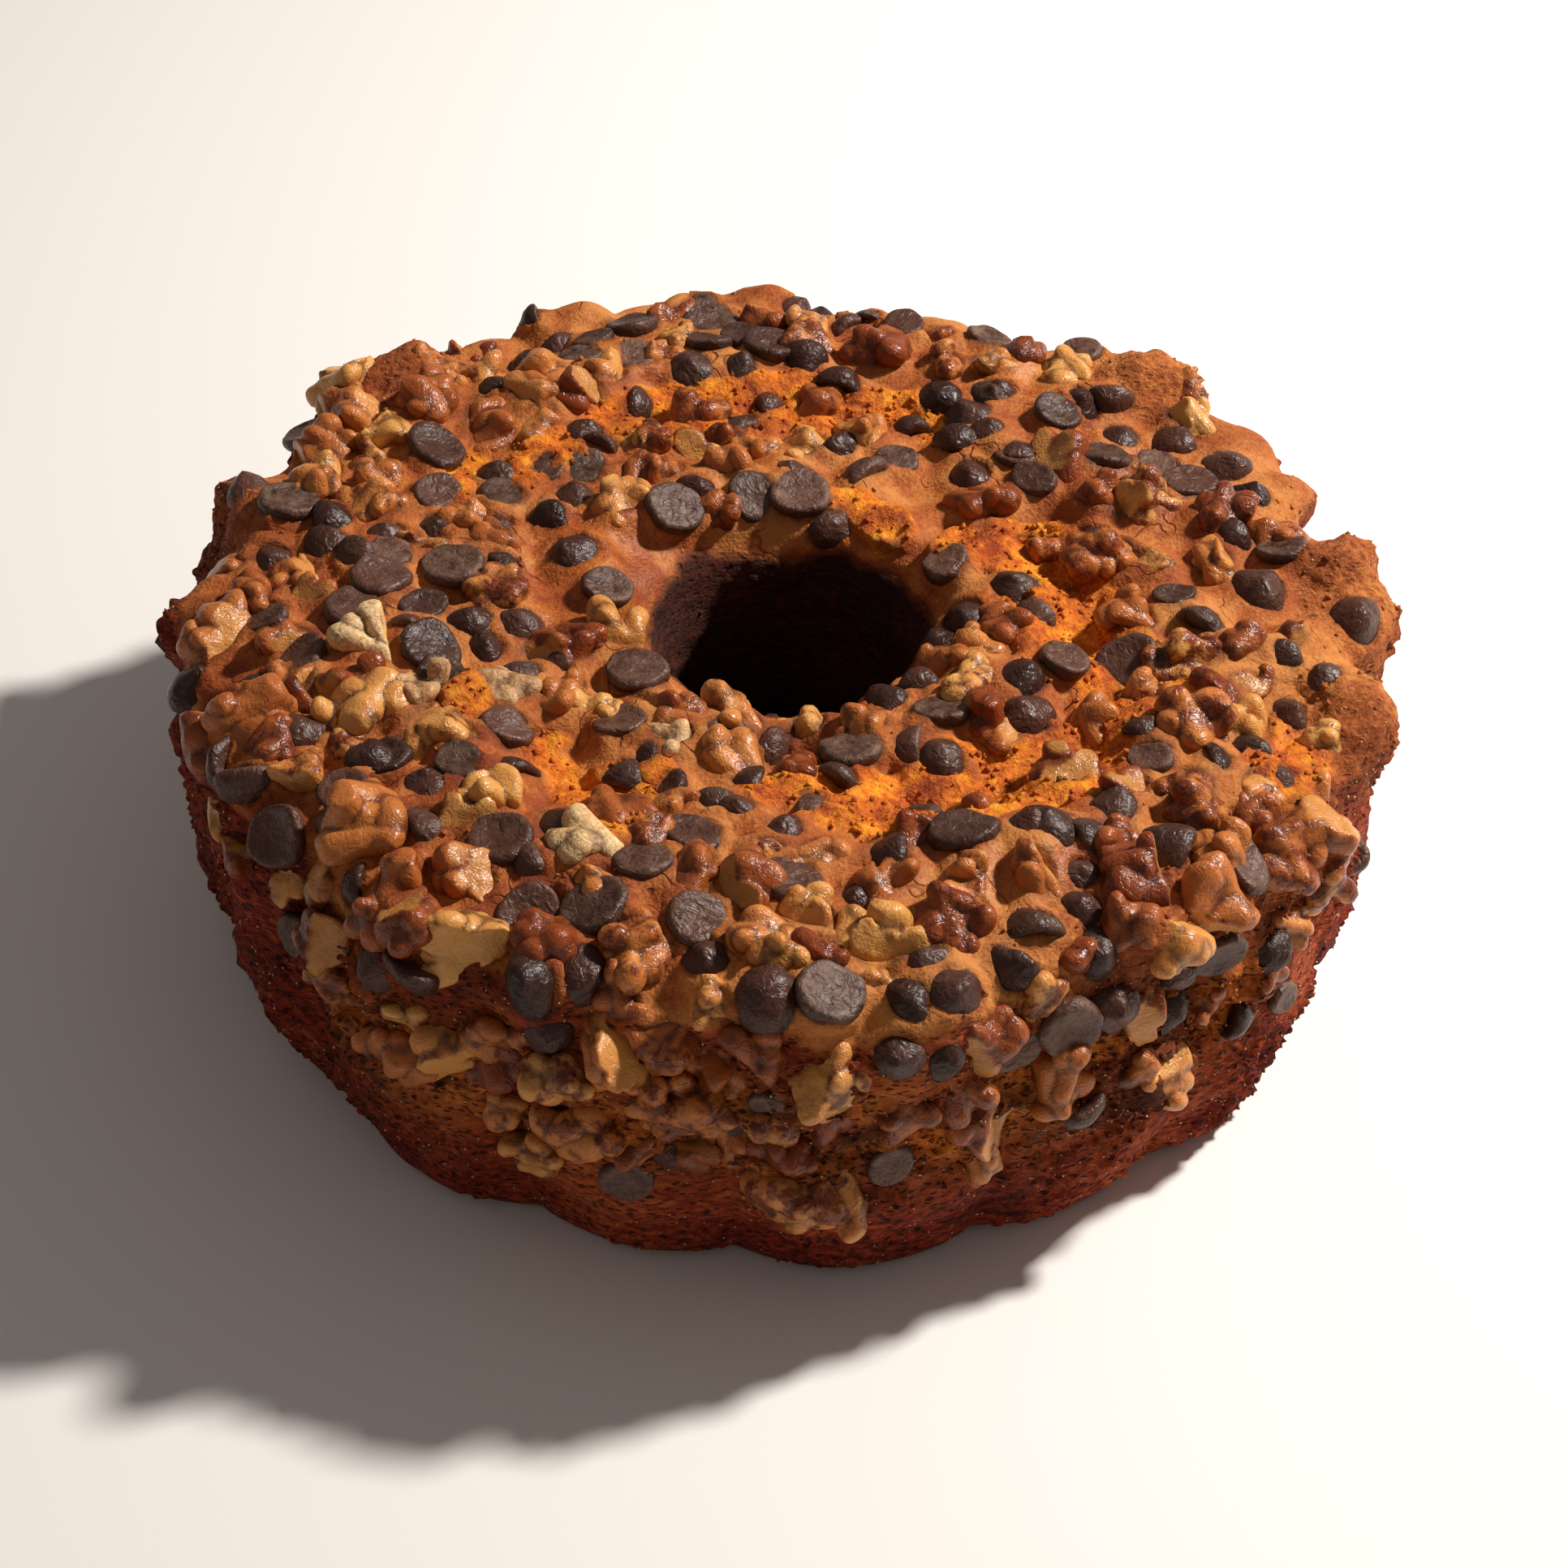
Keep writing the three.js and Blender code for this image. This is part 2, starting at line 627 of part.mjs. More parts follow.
function toSolid(geometry, place) {
  const bare = geometry.clone();
  for (const name of ["normal", "uv"]) {
    bare.deleteAttribute(name);
  }
  const merged = mergeVertices(bare, 1e-4);
  if (place) {
    merged.applyMatrix4(place);
  }
  const vertProperties = new Float32Array(merged.getAttribute("position").array);
  const triVerts = withoutSlivers(merged.getIndex().array);
  return new wasm.Manifold(new wasm.Mesh({ numProp: 3, vertProperties, triVerts }));
}

// Leaves out triangles that use a corner twice, as at the tip of a turned shape
function withoutSlivers(index) {
  const kept = [];
  for (let i = 0; i < index.length; i += 3) {
    const [a, b, c] = [index[i], index[i + 1], index[i + 2]];
    if (a !== b && b !== c && c !== a) {
      kept.push(a, b, c);
    }
  }
  return new Uint32Array(kept);
}

function toGeometry(solid) {
  const { vertProperties, triVerts } = solid.getMesh();
  const geometry = new THREE.BufferGeometry();
  geometry.setAttribute("position", new THREE.BufferAttribute(new Float32Array(vertProperties), 3));
  geometry.setIndex(new THREE.BufferAttribute(new Uint32Array(triVerts), 1));
  return geometry;
}

// The largest whole of a solid, without loose scraps or sealed hollows
function mainPiece(solid) {
  const parts = solid.decompose();
  return parts.reduce((best, part) => (part.volume() > best.volume() ? part : best));
}

// ---- The cake as a scene -------------------------------------------------------------

const crumb = new THREE.MeshStandardMaterial({ color: 0xa8622f, roughness: 0.75, metalness: 0 });
const chocolate = new THREE.MeshStandardMaterial({ color: 0x3c2822, roughness: 0.5, metalness: 0 });
const nut = new THREE.MeshStandardMaterial({ color: 0xb06a30, roughness: 0.45, metalness: 0 });

const cake = new THREE.Group();
const pieces = toppings();

let body = toSolid(bodyGeometry());
for (const piece of pieces.filter(({ own }) => !own)) {
  body = body.add(toSolid(piece.make(0), piece.place));
}

const counts = { walnut: 0, chip: 0 };
for (const piece of pieces.filter(({ own }) => own)) {
  body = body.subtract(toSolid(piece.make(POCKET_GAP), piece.place));
  counts[piece.kind] += 1;
  const mesh = new THREE.Mesh(toGeometry(toSolid(piece.make(0))), piece.kind === "chip" ? chocolate : nut);
  mesh.name = `${piece.kind}_${String(counts[piece.kind]).padStart(2, "0")}`;
  mesh.applyMatrix4(piece.place);
  cake.add(mesh);
}

const bodyMesh = new THREE.Mesh(toGeometry(mainPiece(body)), crumb);
bodyMesh.name = "cake";
cake.add(bodyMesh);

export default cake;
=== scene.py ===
"""A fluted ring coffee cake, full of chocolate chips and walnuts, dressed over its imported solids.

Lengths inside the classes are millimetres and azimuths are degrees, 0 along +X and 90 along
+Y, as the cake is measured. Meshes are turned to metres when they are made.
"""

import logging
import math
from dataclasses import dataclass, field
from enum import Enum

import bpy
import numpy as np
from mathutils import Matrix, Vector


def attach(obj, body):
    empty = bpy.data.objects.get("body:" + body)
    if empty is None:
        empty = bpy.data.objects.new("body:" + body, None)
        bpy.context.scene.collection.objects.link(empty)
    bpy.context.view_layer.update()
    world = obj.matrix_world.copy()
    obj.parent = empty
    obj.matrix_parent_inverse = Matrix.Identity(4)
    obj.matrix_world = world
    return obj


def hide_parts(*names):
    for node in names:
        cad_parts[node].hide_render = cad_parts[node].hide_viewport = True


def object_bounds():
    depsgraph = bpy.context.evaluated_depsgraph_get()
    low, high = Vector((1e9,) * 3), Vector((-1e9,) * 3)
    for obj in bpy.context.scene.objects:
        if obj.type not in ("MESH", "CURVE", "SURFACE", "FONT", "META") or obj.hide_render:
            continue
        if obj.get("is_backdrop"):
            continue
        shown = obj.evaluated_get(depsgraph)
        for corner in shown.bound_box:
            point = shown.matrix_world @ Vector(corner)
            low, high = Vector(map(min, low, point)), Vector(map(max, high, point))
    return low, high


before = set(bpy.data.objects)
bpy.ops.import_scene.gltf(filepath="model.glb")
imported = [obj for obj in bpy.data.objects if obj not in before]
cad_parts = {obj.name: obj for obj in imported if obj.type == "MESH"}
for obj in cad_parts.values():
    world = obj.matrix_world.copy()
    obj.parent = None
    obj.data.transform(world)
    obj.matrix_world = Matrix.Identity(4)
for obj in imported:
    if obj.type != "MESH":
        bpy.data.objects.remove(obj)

import openvdb
from mathutils import Matrix, Vector

Array = np.ndarray
Piece = bpy.types.Object
Material = bpy.types.Material
Socket = bpy.types.NodeSocket

CAD_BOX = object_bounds()
MM = 0.001
FAR_OFF = 7  # millimetres from a topping, past which it changes nothing
BODY = "root"
LOG = logging.getLogger("coffee_cake")


# ---- Small tools ----


def linear(colour: str) -> tuple[float, float, float, float]:
    """Turn an sRGB hex colour to linear.

    Args:
        colour: such as "#A86A35".

    Returns:
        Red, green, blue and alpha, 0 to 1.
    """
    parts = [int(colour[i : i + 2], 16) / 255 for i in (1, 3, 5)]
    light = [c / 12.92 if c <= 0.04045 else ((c + 0.055) / 1.055) ** 2.4 for c in parts]
    return (*light, 1.0)


def bell(distance: Array, spread: float) -> Array:
    """Smooth rise of height 1 about distance 0, fallen to 1/e at the spread."""
    return np.exp(-((distance / spread) ** 2))


def ease(value: Array, low: float, high: float) -> Array:
    """Smooth step from 0 at low to 1 at high."""
    share = np.clip((value - low) / (high - low), 0, 1)
    return share * share * (3 - 2 * share)


def wrap(angle: Array) -> Array:
    """Bring an angle in degrees to between -180 and 180."""
    return (angle + 180) % 360 - 180


def smooth_min(a: Array, b: Array, blend: float) -> Array:
    """Lesser of two values, with the corner between them rounded."""
    overlap = np.clip(blend - np.abs(a - b), 0, None) / blend
    return np.minimum(a, b) - overlap * overlap * blend / 4


class Draws:
    """The same draws from 0 to 1 each run, from a 32-bit seed."""

    SPAN = 2**32
    STRIDE = 0x6D2B79F5

    def __init__(self, seed: int) -> None:
        """Start from a seed."""
        self.state = seed % self.SPAN

    def __call__(self) -> float:
        """Make the next draw.

        Returns:
            A number from 0 up to 1.
        """
        self.state = (self.state + self.STRIDE) % self.SPAN
        state = self.state
        mixed = ((state ^ (state >> 15)) * (state | 1)) % self.SPAN
        more = ((mixed ^ (mixed >> 7)) * (mixed | 61)) % self.SPAN
        mixed = ((mixed + more) % self.SPAN) ^ mixed
        return (mixed ^ (mixed >> 14)) / self.SPAN

    def between(self, low: float, high: float) -> float:
        """Return the next draw, scaled to a range."""
        return low + (high - low) * self()


class Grain:
    """Smooth random values in space, and cells about random points, the same each run."""

    SIDE = 32
    OCTAVES_APART = 17.3
    FAR = 9

    def __init__(self, seed: int) -> None:
        """Fill the lattice.

        Args:
            seed: of its random values.
        """
        numbers = np.random.default_rng(seed)
        shape = (self.SIDE,) * 3
        self.values = numbers.uniform(-1, 1, shape).astype(np.float32)
        self.offsets = numbers.uniform(0, 1, (*shape, 3)).astype(np.float32)

    def waves(self, points: Array, length: float) -> Array:
        """Smooth noise from -1 to 1.

        Args:
            points: places, one row each.
            length: distance over which it changes, in the points' unit.

        Returns:
            One value for each point.
        """
        scaled = points / length
        low = np.floor(scaled).astype(np.int64)
        part = (scaled - low).astype(np.float32)
        part = part * part * (3 - 2 * part)
        total = np.zeros(len(points), np.float32)
        for corner in range(8):
            step = np.array([corner & 1, corner >> 1 & 1, corner >> 2 & 1])
            cell = (low + step) % self.SIDE
            weight = np.prod(np.where(step, part, 1 - part), axis=1)
            total += weight * self.values[cell[:, 0], cell[:, 1], cell[:, 2]]
        return total

    def rough(self, points: Array, length: float, octaves: int = 3) -> Array:
        """Noise with finer noise on it, each octave half as long and half as high.

        Args:
            points: places, one row each.
            length: of the longest waves.
            octaves: how many are added up.

        Returns:
            One value for each point.
        """
        total = np.zeros(len(points), np.float32)
        for octave in range(octaves):
            share = 0.5**octave
            total += share * self.waves(points + self.OCTAVES_APART * octave, length * share)
        return total

    def uneven(self, points: Array, row: tuple) -> Array:
        """Return rough noise by a row of its height, start, length and octaves."""
        height, start, length, octaves = row
        return height * self.rough(points + start, length, octaves)

    def cells(self, points: Array, size: float) -> tuple[Array, Array]:
        """Distance to the nearest and second nearest of scattered points, in cell sizes.

        Args:
            points: places, one row each.
            size: about how far apart the scattered points are.

        Returns:
            Both distances for each point.
        """
        scaled = (points / size).astype(np.float32)
        low = np.floor(scaled).astype(np.int64)
        near = np.full(len(points), self.FAR, np.float32)
        second = near.copy()
        for shift in np.ndindex(3, 3, 3):
            cell = low + np.array(shift) - 1
            home = cell % self.SIDE
            spot = cell + self.offsets[home[:, 0], home[:, 1], home[:, 2]]
            away = np.sqrt(((scaled - spot) ** 2).sum(axis=1))
            second = np.minimum(second, np.maximum(near, away))
            near = np.minimum(near, away)
        return near, second


# ---- The cake's form, as in its solids ----


@dataclass(frozen=True)
class CakeForm:
    """Outer form of the cake: fluted wall, humped top with its splits, and centre hole."""

    base_radius: float = 115
    knee_radius: float = 121
    knee_height: float = 12.7
    wall_radius_full: float = 126.4
    wall_full_height: float = 25
    flute_pairs: int = 8
    flute_phase: float = 8.25
    big_flute_half: float = 12.25
    small_set_back: float = 0.3
    groove_depth: float = 5.6
    flute_roundness: float = 2.2
    rim_height: float = 74.4
    crest: tuple = (4, 88, 20)  # height, radius, spread
    tilt: tuple = (-1.4, -1.45)
    collar: tuple = (46, 20, 3)  # start, span, drop
    shoulder_blend: float = 11
    collar_blend: float = 18
    foot_blend: float = 1.5
    hole_radius_top: float = 25.5
    hole_flare: float = 5.5
    hole_flare_height: float = 70
    hole_wobble: tuple = ((1.2, 3, 0.6), (0.8, 5, 2.0))
    core_radius: float = 76
    core_height: float = 34
    # azimuth, radius, height, half width across, half width in and out
    humps: tuple = (
        (48, 118, 9, 15, 13), (140, 114, 6, 15, 11), (166, 116, 5.5, 13, 10), (8, 116, 4, 16, 10),
        (25, 117, 2.5, 12, 9), (95, 112, 2, 16, 10), (120, 112, -1, 12, 12), (84, 116, -2, 9, 8),
        (70, 112, 1.5, 10, 8), (155, 45, 3, 26, 13), (176, 66, 2, 14, 9), (90, 40, 3, 30, 12),
        (300, 96, 3, 20, 12), (270, 44, -7, 9, 10), (232, 60, 1.5, 20, 10), (205, 92, 2, 18, 12),
        (340, 50, 2, 18, 9),
    )
    # azimuth, height, depth, half width across, half height
    wall_swells: tuple = (
        (47, 68, 6.5, 15, 16), (8, 66, 2.2, 18, 18), (30, 66, 1.5, 12, 14), (165, 66, 2.2, 16, 14),
        (141, 68, 2, 14, 12), (236, 56, 1.5, 20, 8), (275, 44, -3, 16, 8), (262, 56, -2.5, 14, 7),
        (292, 58, -2, 16, 8), (345, 52, -2, 14, 16),
    )
    # azimuth from, azimuth to, radius at each end, depth, half width
    splits: tuple = (
        (62, 126, 75, 75, 5, 7), (-14, 34, 65, 58, 5.5, 6.5), (290, 346, 67, 77, 5.5, 8.5),
        (222, 250, 70, 68, 3.5, 6), (138, 152, 84, 82, 3, 6),
    )
    split_wander: tuple = (1.5, 17)  # how far, times per round
    split_end: float = 0.24
    crag_seed: int = 11
    crag_count: int = 14
    crag_lengths: tuple = (46, 15)
    crag_size: float = 0.9
    crag_shoulder: tuple = (1.5, 46)  # size, from this height
    crag_fade: float = 10
    halvings: int = 30  # of a way through the surface, until its crossing is found
    probe: float = 2  # step over which the slope is taken
    beyond: float = 30  # surely outside the wall
    edge: float = 117  # radius past which the top turns to the shoulder
    slant: float = 40  # how far ways to the shoulder lean out

    def flute(self, azimuth: Array) -> Array:
        """Tell where an azimuth lies between the flutes.

        Args:
            azimuth: in degrees.

        Returns:
            1 along the top of a big flute and 0 at the bottom of a groove.
        """
        pitch = 360 / self.flute_pairs
        off = np.abs((azimuth - self.flute_phase + pitch / 2) % pitch - pitch / 2)
        big = 1 - np.clip(off / self.big_flute_half, 0, 1) ** self.flute_roundness
        half = pitch / 2 - self.big_flute_half
        inward = np.clip((pitch / 2 - off) / half, 0, 1)
        small = (1 - self.small_set_back) * (1 - inward**self.flute_roundness)
        return np.where(off <= self.big_flute_half, big, small)

    def wall_radius(self, azimuth: Array, height: Array) -> Array:
        """Work out the wall.

        Args:
            azimuth: in degrees.
            height: above the floor.

        Returns:
            The wall's radius there.
        """
        up = np.maximum(height, 0)
        foot = np.clip(up / self.knee_height, 0, 1)
        rise = self.wall_full_height - self.knee_height
        above = np.clip((up - self.knee_height) / rise, 0, 1)
        radius = self.base_radius - self.groove_depth * (1 - self.flute(azimuth))
        radius = radius + (self.knee_radius - self.base_radius) * np.sqrt(1 - (1 - foot) ** 2)
        radius = radius + (self.wall_radius_full - self.knee_radius) * (1 - (1 - above) ** 2)
        for at, level, depth, across, upright in self.wall_swells:
            aside = np.radians(wrap(azimuth - at)) * self.wall_radius_full
            radius = radius + depth * bell(aside, across) * bell(height - level, upright)
        return radius

    def split_depths(self, azimuth: Array, radius: Array, widen: float = 1) -> Array:
        """Work out the splits of the top.

        Args:
            azimuth: in degrees.
            radius: out from the middle.
            widen: how much wider than true to take them.

        Returns:
            How deep they are there.
        """
        total = np.zeros(np.broadcast(azimuth, radius).shape)
        size, times = self.split_wander
        for start, end, first, last, depth, half_width in self.splits:
            along = wrap(azimuth - (start + end) / 2) / ((end - start) / 2)
            line = (first + last) / 2 + ((last - first) / 2) * np.clip(along, -1, 1)
            stray = size * np.sin(np.radians(azimuth * times))
            fade = np.clip((1 + self.split_end / 2 - np.abs(along)) / self.split_end, 0, 1)
            total = total + depth * fade * bell(radius - line - stray, half_width * widen)
        return total

    def top_height(self, azimuth: Array, radius: Array) -> Array:
        """Work out the top.

        Args:
            azimuth: in degrees.
            radius: out from the middle.

        Returns:
            Its height there.
        """
        turn = np.radians(azimuth)
        lean = self.tilt[0] * np.cos(turn) + self.tilt[1] * np.sin(turn)
        height = self.rim_height + lean * radius / self.wall_radius_full
        height = height + self.crest[0] * bell(radius - self.crest[1], self.crest[2])
        start, span, drop = self.collar
        height = height - drop * np.clip((start - radius) / span, 0, 1) ** 2
        for at, out, rise, across, inward in self.humps:
            aside = np.radians(wrap(azimuth - at)) * out
            height = height + rise * bell(aside, across) * bell(radius - out, inward)
        return height - self.split_depths(azimuth, radius)

    def hole_radius(self, azimuth: Array, height: Array) -> Array:
        """Work out the hole.

        Args:
            azimuth: in degrees.
            height: above the floor.

        Returns:
            Its radius there.
        """
        down = 1 - np.clip(height / self.hole_flare_height, 0, 1)
        radius = self.hole_radius_top + self.hole_flare * down
        for size, turns, phase in self.hole_wobble:
            radius = radius + size * np.sin(turns * np.radians(azimuth) + phase)
        return radius

    def crag(self, x: Array, y: Array, z: Array) -> Array:
        """Add up a few long ripples that run through one another.

        Args:
            x: coordinate.
            y: coordinate.
            z: coordinate.

        Returns:
            Their sum, mostly from -2 to 2.
        """
        draw = Draws(self.crag_seed)
        longest, shortest = self.crag_lengths
        total = 0.0
        for i in range(self.crag_count):
            length = longest * (shortest / longest) ** (i / (self.crag_count - 1))
            up = 2 * draw() - 1
            around = 2 * math.pi * draw()
            flat = math.sqrt(1 - up * up)
            wave = 2 * math.pi / length
            phase = 2 * math.pi * draw()
            along = flat * math.cos(around) * x + flat * math.sin(around) * y + up * z
            total = total + math.sqrt(length / longest) * np.sin(wave * along + phase)
        return total / math.sqrt(self.crag_count / 2)

    def depth_inside(self, x: Array, y: Array, z: Array) -> Array:
        """Tell how deep inside the cake a point lies.

        Args:
            x: coordinate.
            y: coordinate.
            z: coordinate.

        Returns:
            About its depth, below 0 outside.
        """
        radius = np.hypot(x, y)
        azimuth = np.degrees(np.arctan2(y, x))
        wall = self.wall_radius(azimuth, z) - radius
        top = self.top_height(azimuth, radius) - z
        hole = radius - self.hole_radius(azimuth, z)
        reach = self.wall_radius_full - self.crest[1]
        outer = np.clip((radius - self.crest[1]) / reach, 0, 1)
        size, start = self.crag_shoulder
        broken = size * outer * np.clip((z - start) / self.crag_fade, 0, 1)
        relief = (self.crag_size + broken) * self.crag(x, y, z) * np.clip(z / self.crag_fade, 0, 1)
        ring = smooth_min(wall, top, self.shoulder_blend)
        ring = smooth_min(ring, hole, self.collar_blend)
        return smooth_min(ring + relief, z, self.foot_blend)

    def surface_between(self, inside: Array, outside: Array) -> Array:
        """Find where straight ways through the surface meet it.

        Args:
            inside: their ends inside the cake, one row each.
            outside: their ends outside it.

        Returns:
            The points on the surface.
        """
        low, high = inside, outside
        for _ in range(self.halvings):
            middle = (low + high) / 2
            deep = self.depth_inside(*middle.T)[:, None] > 0
            low = np.where(deep, middle, low)
            high = np.where(deep, high, middle)
        return middle

    def normals_at(self, points: Array) -> Array:
        """Find the directions that point out of the surface.

        Args:
            points: on it, one row each.

        Returns:
            One direction for each.
        """
        steps = np.eye(3) * self.probe
        slope = [
            self.depth_inside(*(points - s).T) - self.depth_inside(*(points + s).T) for s in steps
        ]
        return np.stack(slope, axis=1) / np.linalg.norm(slope, axis=0)[:, None]

    def top_points(self, azimuth: Array, radius: Array) -> Array:
        """Find surface points on top.

        Args:
            azimuth: in degrees.
            radius: out from the middle; the shoulder where it is past the edge.

        Returns:
            The points, one row each.
        """
        slant = np.where(radius <= self.edge, 0, self.slant)
        upright = self.rim_height + self.slant
        leaning = 2 * self.rim_height - self.core_height
        high = np.where(radius <= self.edge, upright, leaning)
        start = polar(azimuth, radius - slant, self.core_height)
        return self.surface_between(start, polar(azimuth, radius + slant, high))

    def wall_points(self, azimuth: Array, height: Array) -> Array:
        """Find surface points on the wall, one row each."""
        far = polar(azimuth, self.wall_radius_full + self.beyond, height)
        return self.surface_between(polar(azimuth, self.core_radius, height), far)


def polar(azimuth: Array | float, radius: Array | float, height: Array | float) -> Array:
    """Turn polar places to points.

    Args:
        azimuth: in degrees.
        radius: out from the middle.
        height: above the floor.

    Returns:
        The points, one row each.
    """
    turn = np.radians(np.atleast_1d(azimuth))
    x, y = radius * np.cos(turn), radius * np.sin(turn)
    return np.stack([x, y, np.broadcast_to(height, x.shape)], axis=1).astype(float)


@dataclass(frozen=True)
class TornCrumb:
    """Where the skin tore open: the splits of the form, and patches beside them."""

    form: CakeForm
    widen: float = 1.25
    deepest: float = 4.8
    # azimuth, radius, half width across, half width in and out
    patches: tuple = (
        (96, 69, 30, 9), (138, 71, 13, 8), (155, 76, 7, 6), (31, 44, 10, 7), (14, 49, 13, 9),
        (357, 57, 13, 10), (27, 55, 12, 7), (6, 62, 12, 8), (345, 70, 13, 9), (333, 77, 11, 9),
        (284, 68, 14, 13), (299, 69, 17, 15), (314, 78, 15, 12), (238, 71, 10, 9),
        (246, 83, 8, 8), (211, 73, 9, 7), (334, 112, 16, 8), (268, 62, 9, 6), (62, 38, 12, 5),
    )

    def depth(self, azimuth: Array, radius: Array) -> Array:
        """Tell how much the top is torn at a place.

        Args:
            azimuth: in degrees.
            radius: out from the middle.

        Returns:
            About 2 at the border of the tear, and up to 6 inside it.
        """
        torn = self.form.split_depths(azimuth, radius, self.widen)
        for at, out, across, inward in self.patches:
            aside = np.radians(wrap(azimuth - at)) * out
            patch = self.deepest * bell(aside, across) * bell(radius - out, inward)
            torn = np.maximum(torn, patch)
        return torn


# ---- Where the toppings lie ----


class Kind(Enum):
    """What a topping is."""

    WALNUT = "walnut"
    CHIP = "chip"


class Lie(Enum):
    """How a chocolate chip came to lie."""

    FLAT = "flat"  # its flat base up
    CONE = "cone"  # its tip up
    SIDE = "side"  # on its side


LIES = (Lie.FLAT, Lie.CONE, Lie.SIDE)
# a chip's outline: level from its base to its tip, and reach out from its axis there
DROP_LEVELS = (-0.5, -0.41, -0.31, -0.18, -0.04, 0.1, 0.22, 0.32, 0.41, 0.5)
DROP_REACHES = (0.84, 0.985, 1, 0.965, 0.88, 0.76, 0.6, 0.42, 0.25, 0)


@dataclass
class Topping:
    """One chip or walnut piece: its middle, its own axes and its sizes."""

    kind: Kind
    own: bool  # has a solid of its own
    point: Array  # where it meets the surface
    middle: Array
    axes: Array  # columns: along, across, out
    size: tuple[float, float, float]
    lie: Lie | None = None

    @property
    def length(self) -> float:
        """Longest measure."""
        return self.size[0]

    def distance(self, points: Array) -> Array:
        """Tell how far points are from its surface.

        Args:
            points: places in millimetres, one row each.

        Returns:
            About the distance of each, below 0 inside.
        """
        radii = np.array(self.size) / 2
        local = (points - self.middle) @ self.axes
        if self.kind is Kind.CHIP:
            level = local[:, 2] / self.size[2]
            girth = radii[0] * np.interp(level, DROP_LEVELS, DROP_REACHES)
            beside = np.hypot(local[:, 0], local[:, 1]) - girth
            return np.maximum(0.85 * beside, (np.abs(level) - 0.5) * self.size[2])
        reach = np.linalg.norm(local / radii, axis=1)
        return (reach - 1) * radii.min()


@dataclass
class ToppingPlan:
    """Places of all toppings: those of the solids, then small ones between them."""

    form: CakeForm
    torn: TornCrumb
    chip_height: float = 0.62  # share of the length
    nut_up: float = 0.1  # how far its middle is above the skin, as a share of its height
    # how far a chip's middle is above the skin, as a share of its length, and how it is tipped
    chip_seats: dict = field(
        default_factory=lambda: {
            Lie.FLAT: (0.31 - 0.3, "X", 172),
            Lie.CONE: (0.31 - 0.2, "X", 0),
            Lie.SIDE: (0.31 - 0.34, "Y", 74),
        }
    )
    strewn_seed: int = 7
    strewn_tries: int = 420
    strewn_chips: int = 7
    strewn_nuts: int = 6
    strewn_length: tuple = (8, 10.5)
    strewn_clear: float = 0.56
    strewn_radii: tuple = (48, 118)
    bare_skin: tuple = (355, 85)
    bare_chance: float = 0.2
    small_seed: int = 29
    small_tries: int = 9000
    small_counts: tuple = (64, 88)  # chips, nuts
    small_length: tuple = (9.5, 15)
    small_chip_length: tuple = (9.5, 12.5)
    small_nut_width: tuple = (0.6, 0.9)  # share of the length
    nut_height: float = 0.64
    strewn_nut_shape: tuple = (0.75, 0.7)  # width and height as shares of the length
    small_swell: float = 1.14
    small_clear: float = 0.36
    small_bare_chance: float = 0.06
    # azimuth, radius and reach of domes that stayed bare of small ones
    small_bare_domes: tuple = ((165, 43, 18), (190, 49, 11), (150, 30, 9))
    small_torn: float = 1.5
    small_torn_chance: float = 0.04
    small_radii: tuple = (33, 110)
    small_on_edge: tuple = (184, 340, 125)  # azimuths, radius over the shoulder
    small_on_wall: tuple = (231, 320, 0.06, 34, 70)  # azimuths, chance, lowest, highest
    # azimuth, radius, length, width, height, heading of the length
    large_nuts_on_top: tuple = (
        (143, 121, 15, 10, 9, 10), (154, 114, 14, 9, 8, -5), (141, 104, 13, 12, 9, 60),
        (138, 90, 20, 9, 8, 105), (124, 86, 13, 9, 8, 10), (163, 107, 13, 10, 8, 20),
        (164, 93, 15, 8, 7, -15), (187, 117, 18, 11, 9, 90), (195, 88, 13, 12, 9, 30),
        (200, 49, 18, 13, 10, 20), (204, 115, 15, 12, 10, -30), (208, 95, 18, 11, 9, 20),
        (217, 85, 16, 10, 9, -35), (224, 111, 17, 12, 10, 60), (230, 89, 13, 11, 8, 60),
        (237, 108, 14, 9, 9, -40), (240, 120, 13, 11, 10, 60), (256, 110, 13, 11, 9, -70),
        (266, 94, 13, 11, 9, -40), (268, 107, 14, 9, 8, -10), (280, 106, 16, 14, 10, 50),
        (288, 105, 15, 12, 9, 40), (308, 109, 15, 13, 10, 60), (321, 102, 15, 9, 9, 80),
        (317, 114, 13, 10, 8, 20), (348, 84, 18, 10, 8, 10), (333, 91, 15, 10, 9, 25),
        (357, 72, 14, 9, 8, -50), (16, 70, 14, 11, 9, 0), (27, 60, 14, 9, 8, -10),
    )
    nuts_on_top: tuple = (
        (149, 105, 11, 8, 8, 0), (130, 91, 10, 8, 8, 80), (183, 99, 10, 8, 7, 0),
        (246, 78, 11, 9, 8, 0), (42, 57, 12, 9, 8, -15), (259, 53, 12, 10, 9, 0),
        (107, 47, 12, 7, 7, -10), (86, 58, 10, 8, 7, 0),
    )
    # azimuth, height, length, width, thickness, tilt of the length
    large_nuts_on_wall: tuple = (
        (262, 50, 22, 11, 9, 5), (273, 31, 25, 11, 9, -8), (274, 61, 14, 13, 9, 30),
        (253, 42, 14, 12, 9, 0), (296, 50, 19, 8, 8, 75),
    )
    nuts_on_wall: tuple = (
        (288, 44, 12, 11, 9, 90), (245, 50, 17, 8, 8, 8), (236, 47, 17, 8, 7, -15),
        (226, 62, 11, 9, 8, 70), (328, 62, 12, 10, 8, 30),
    )
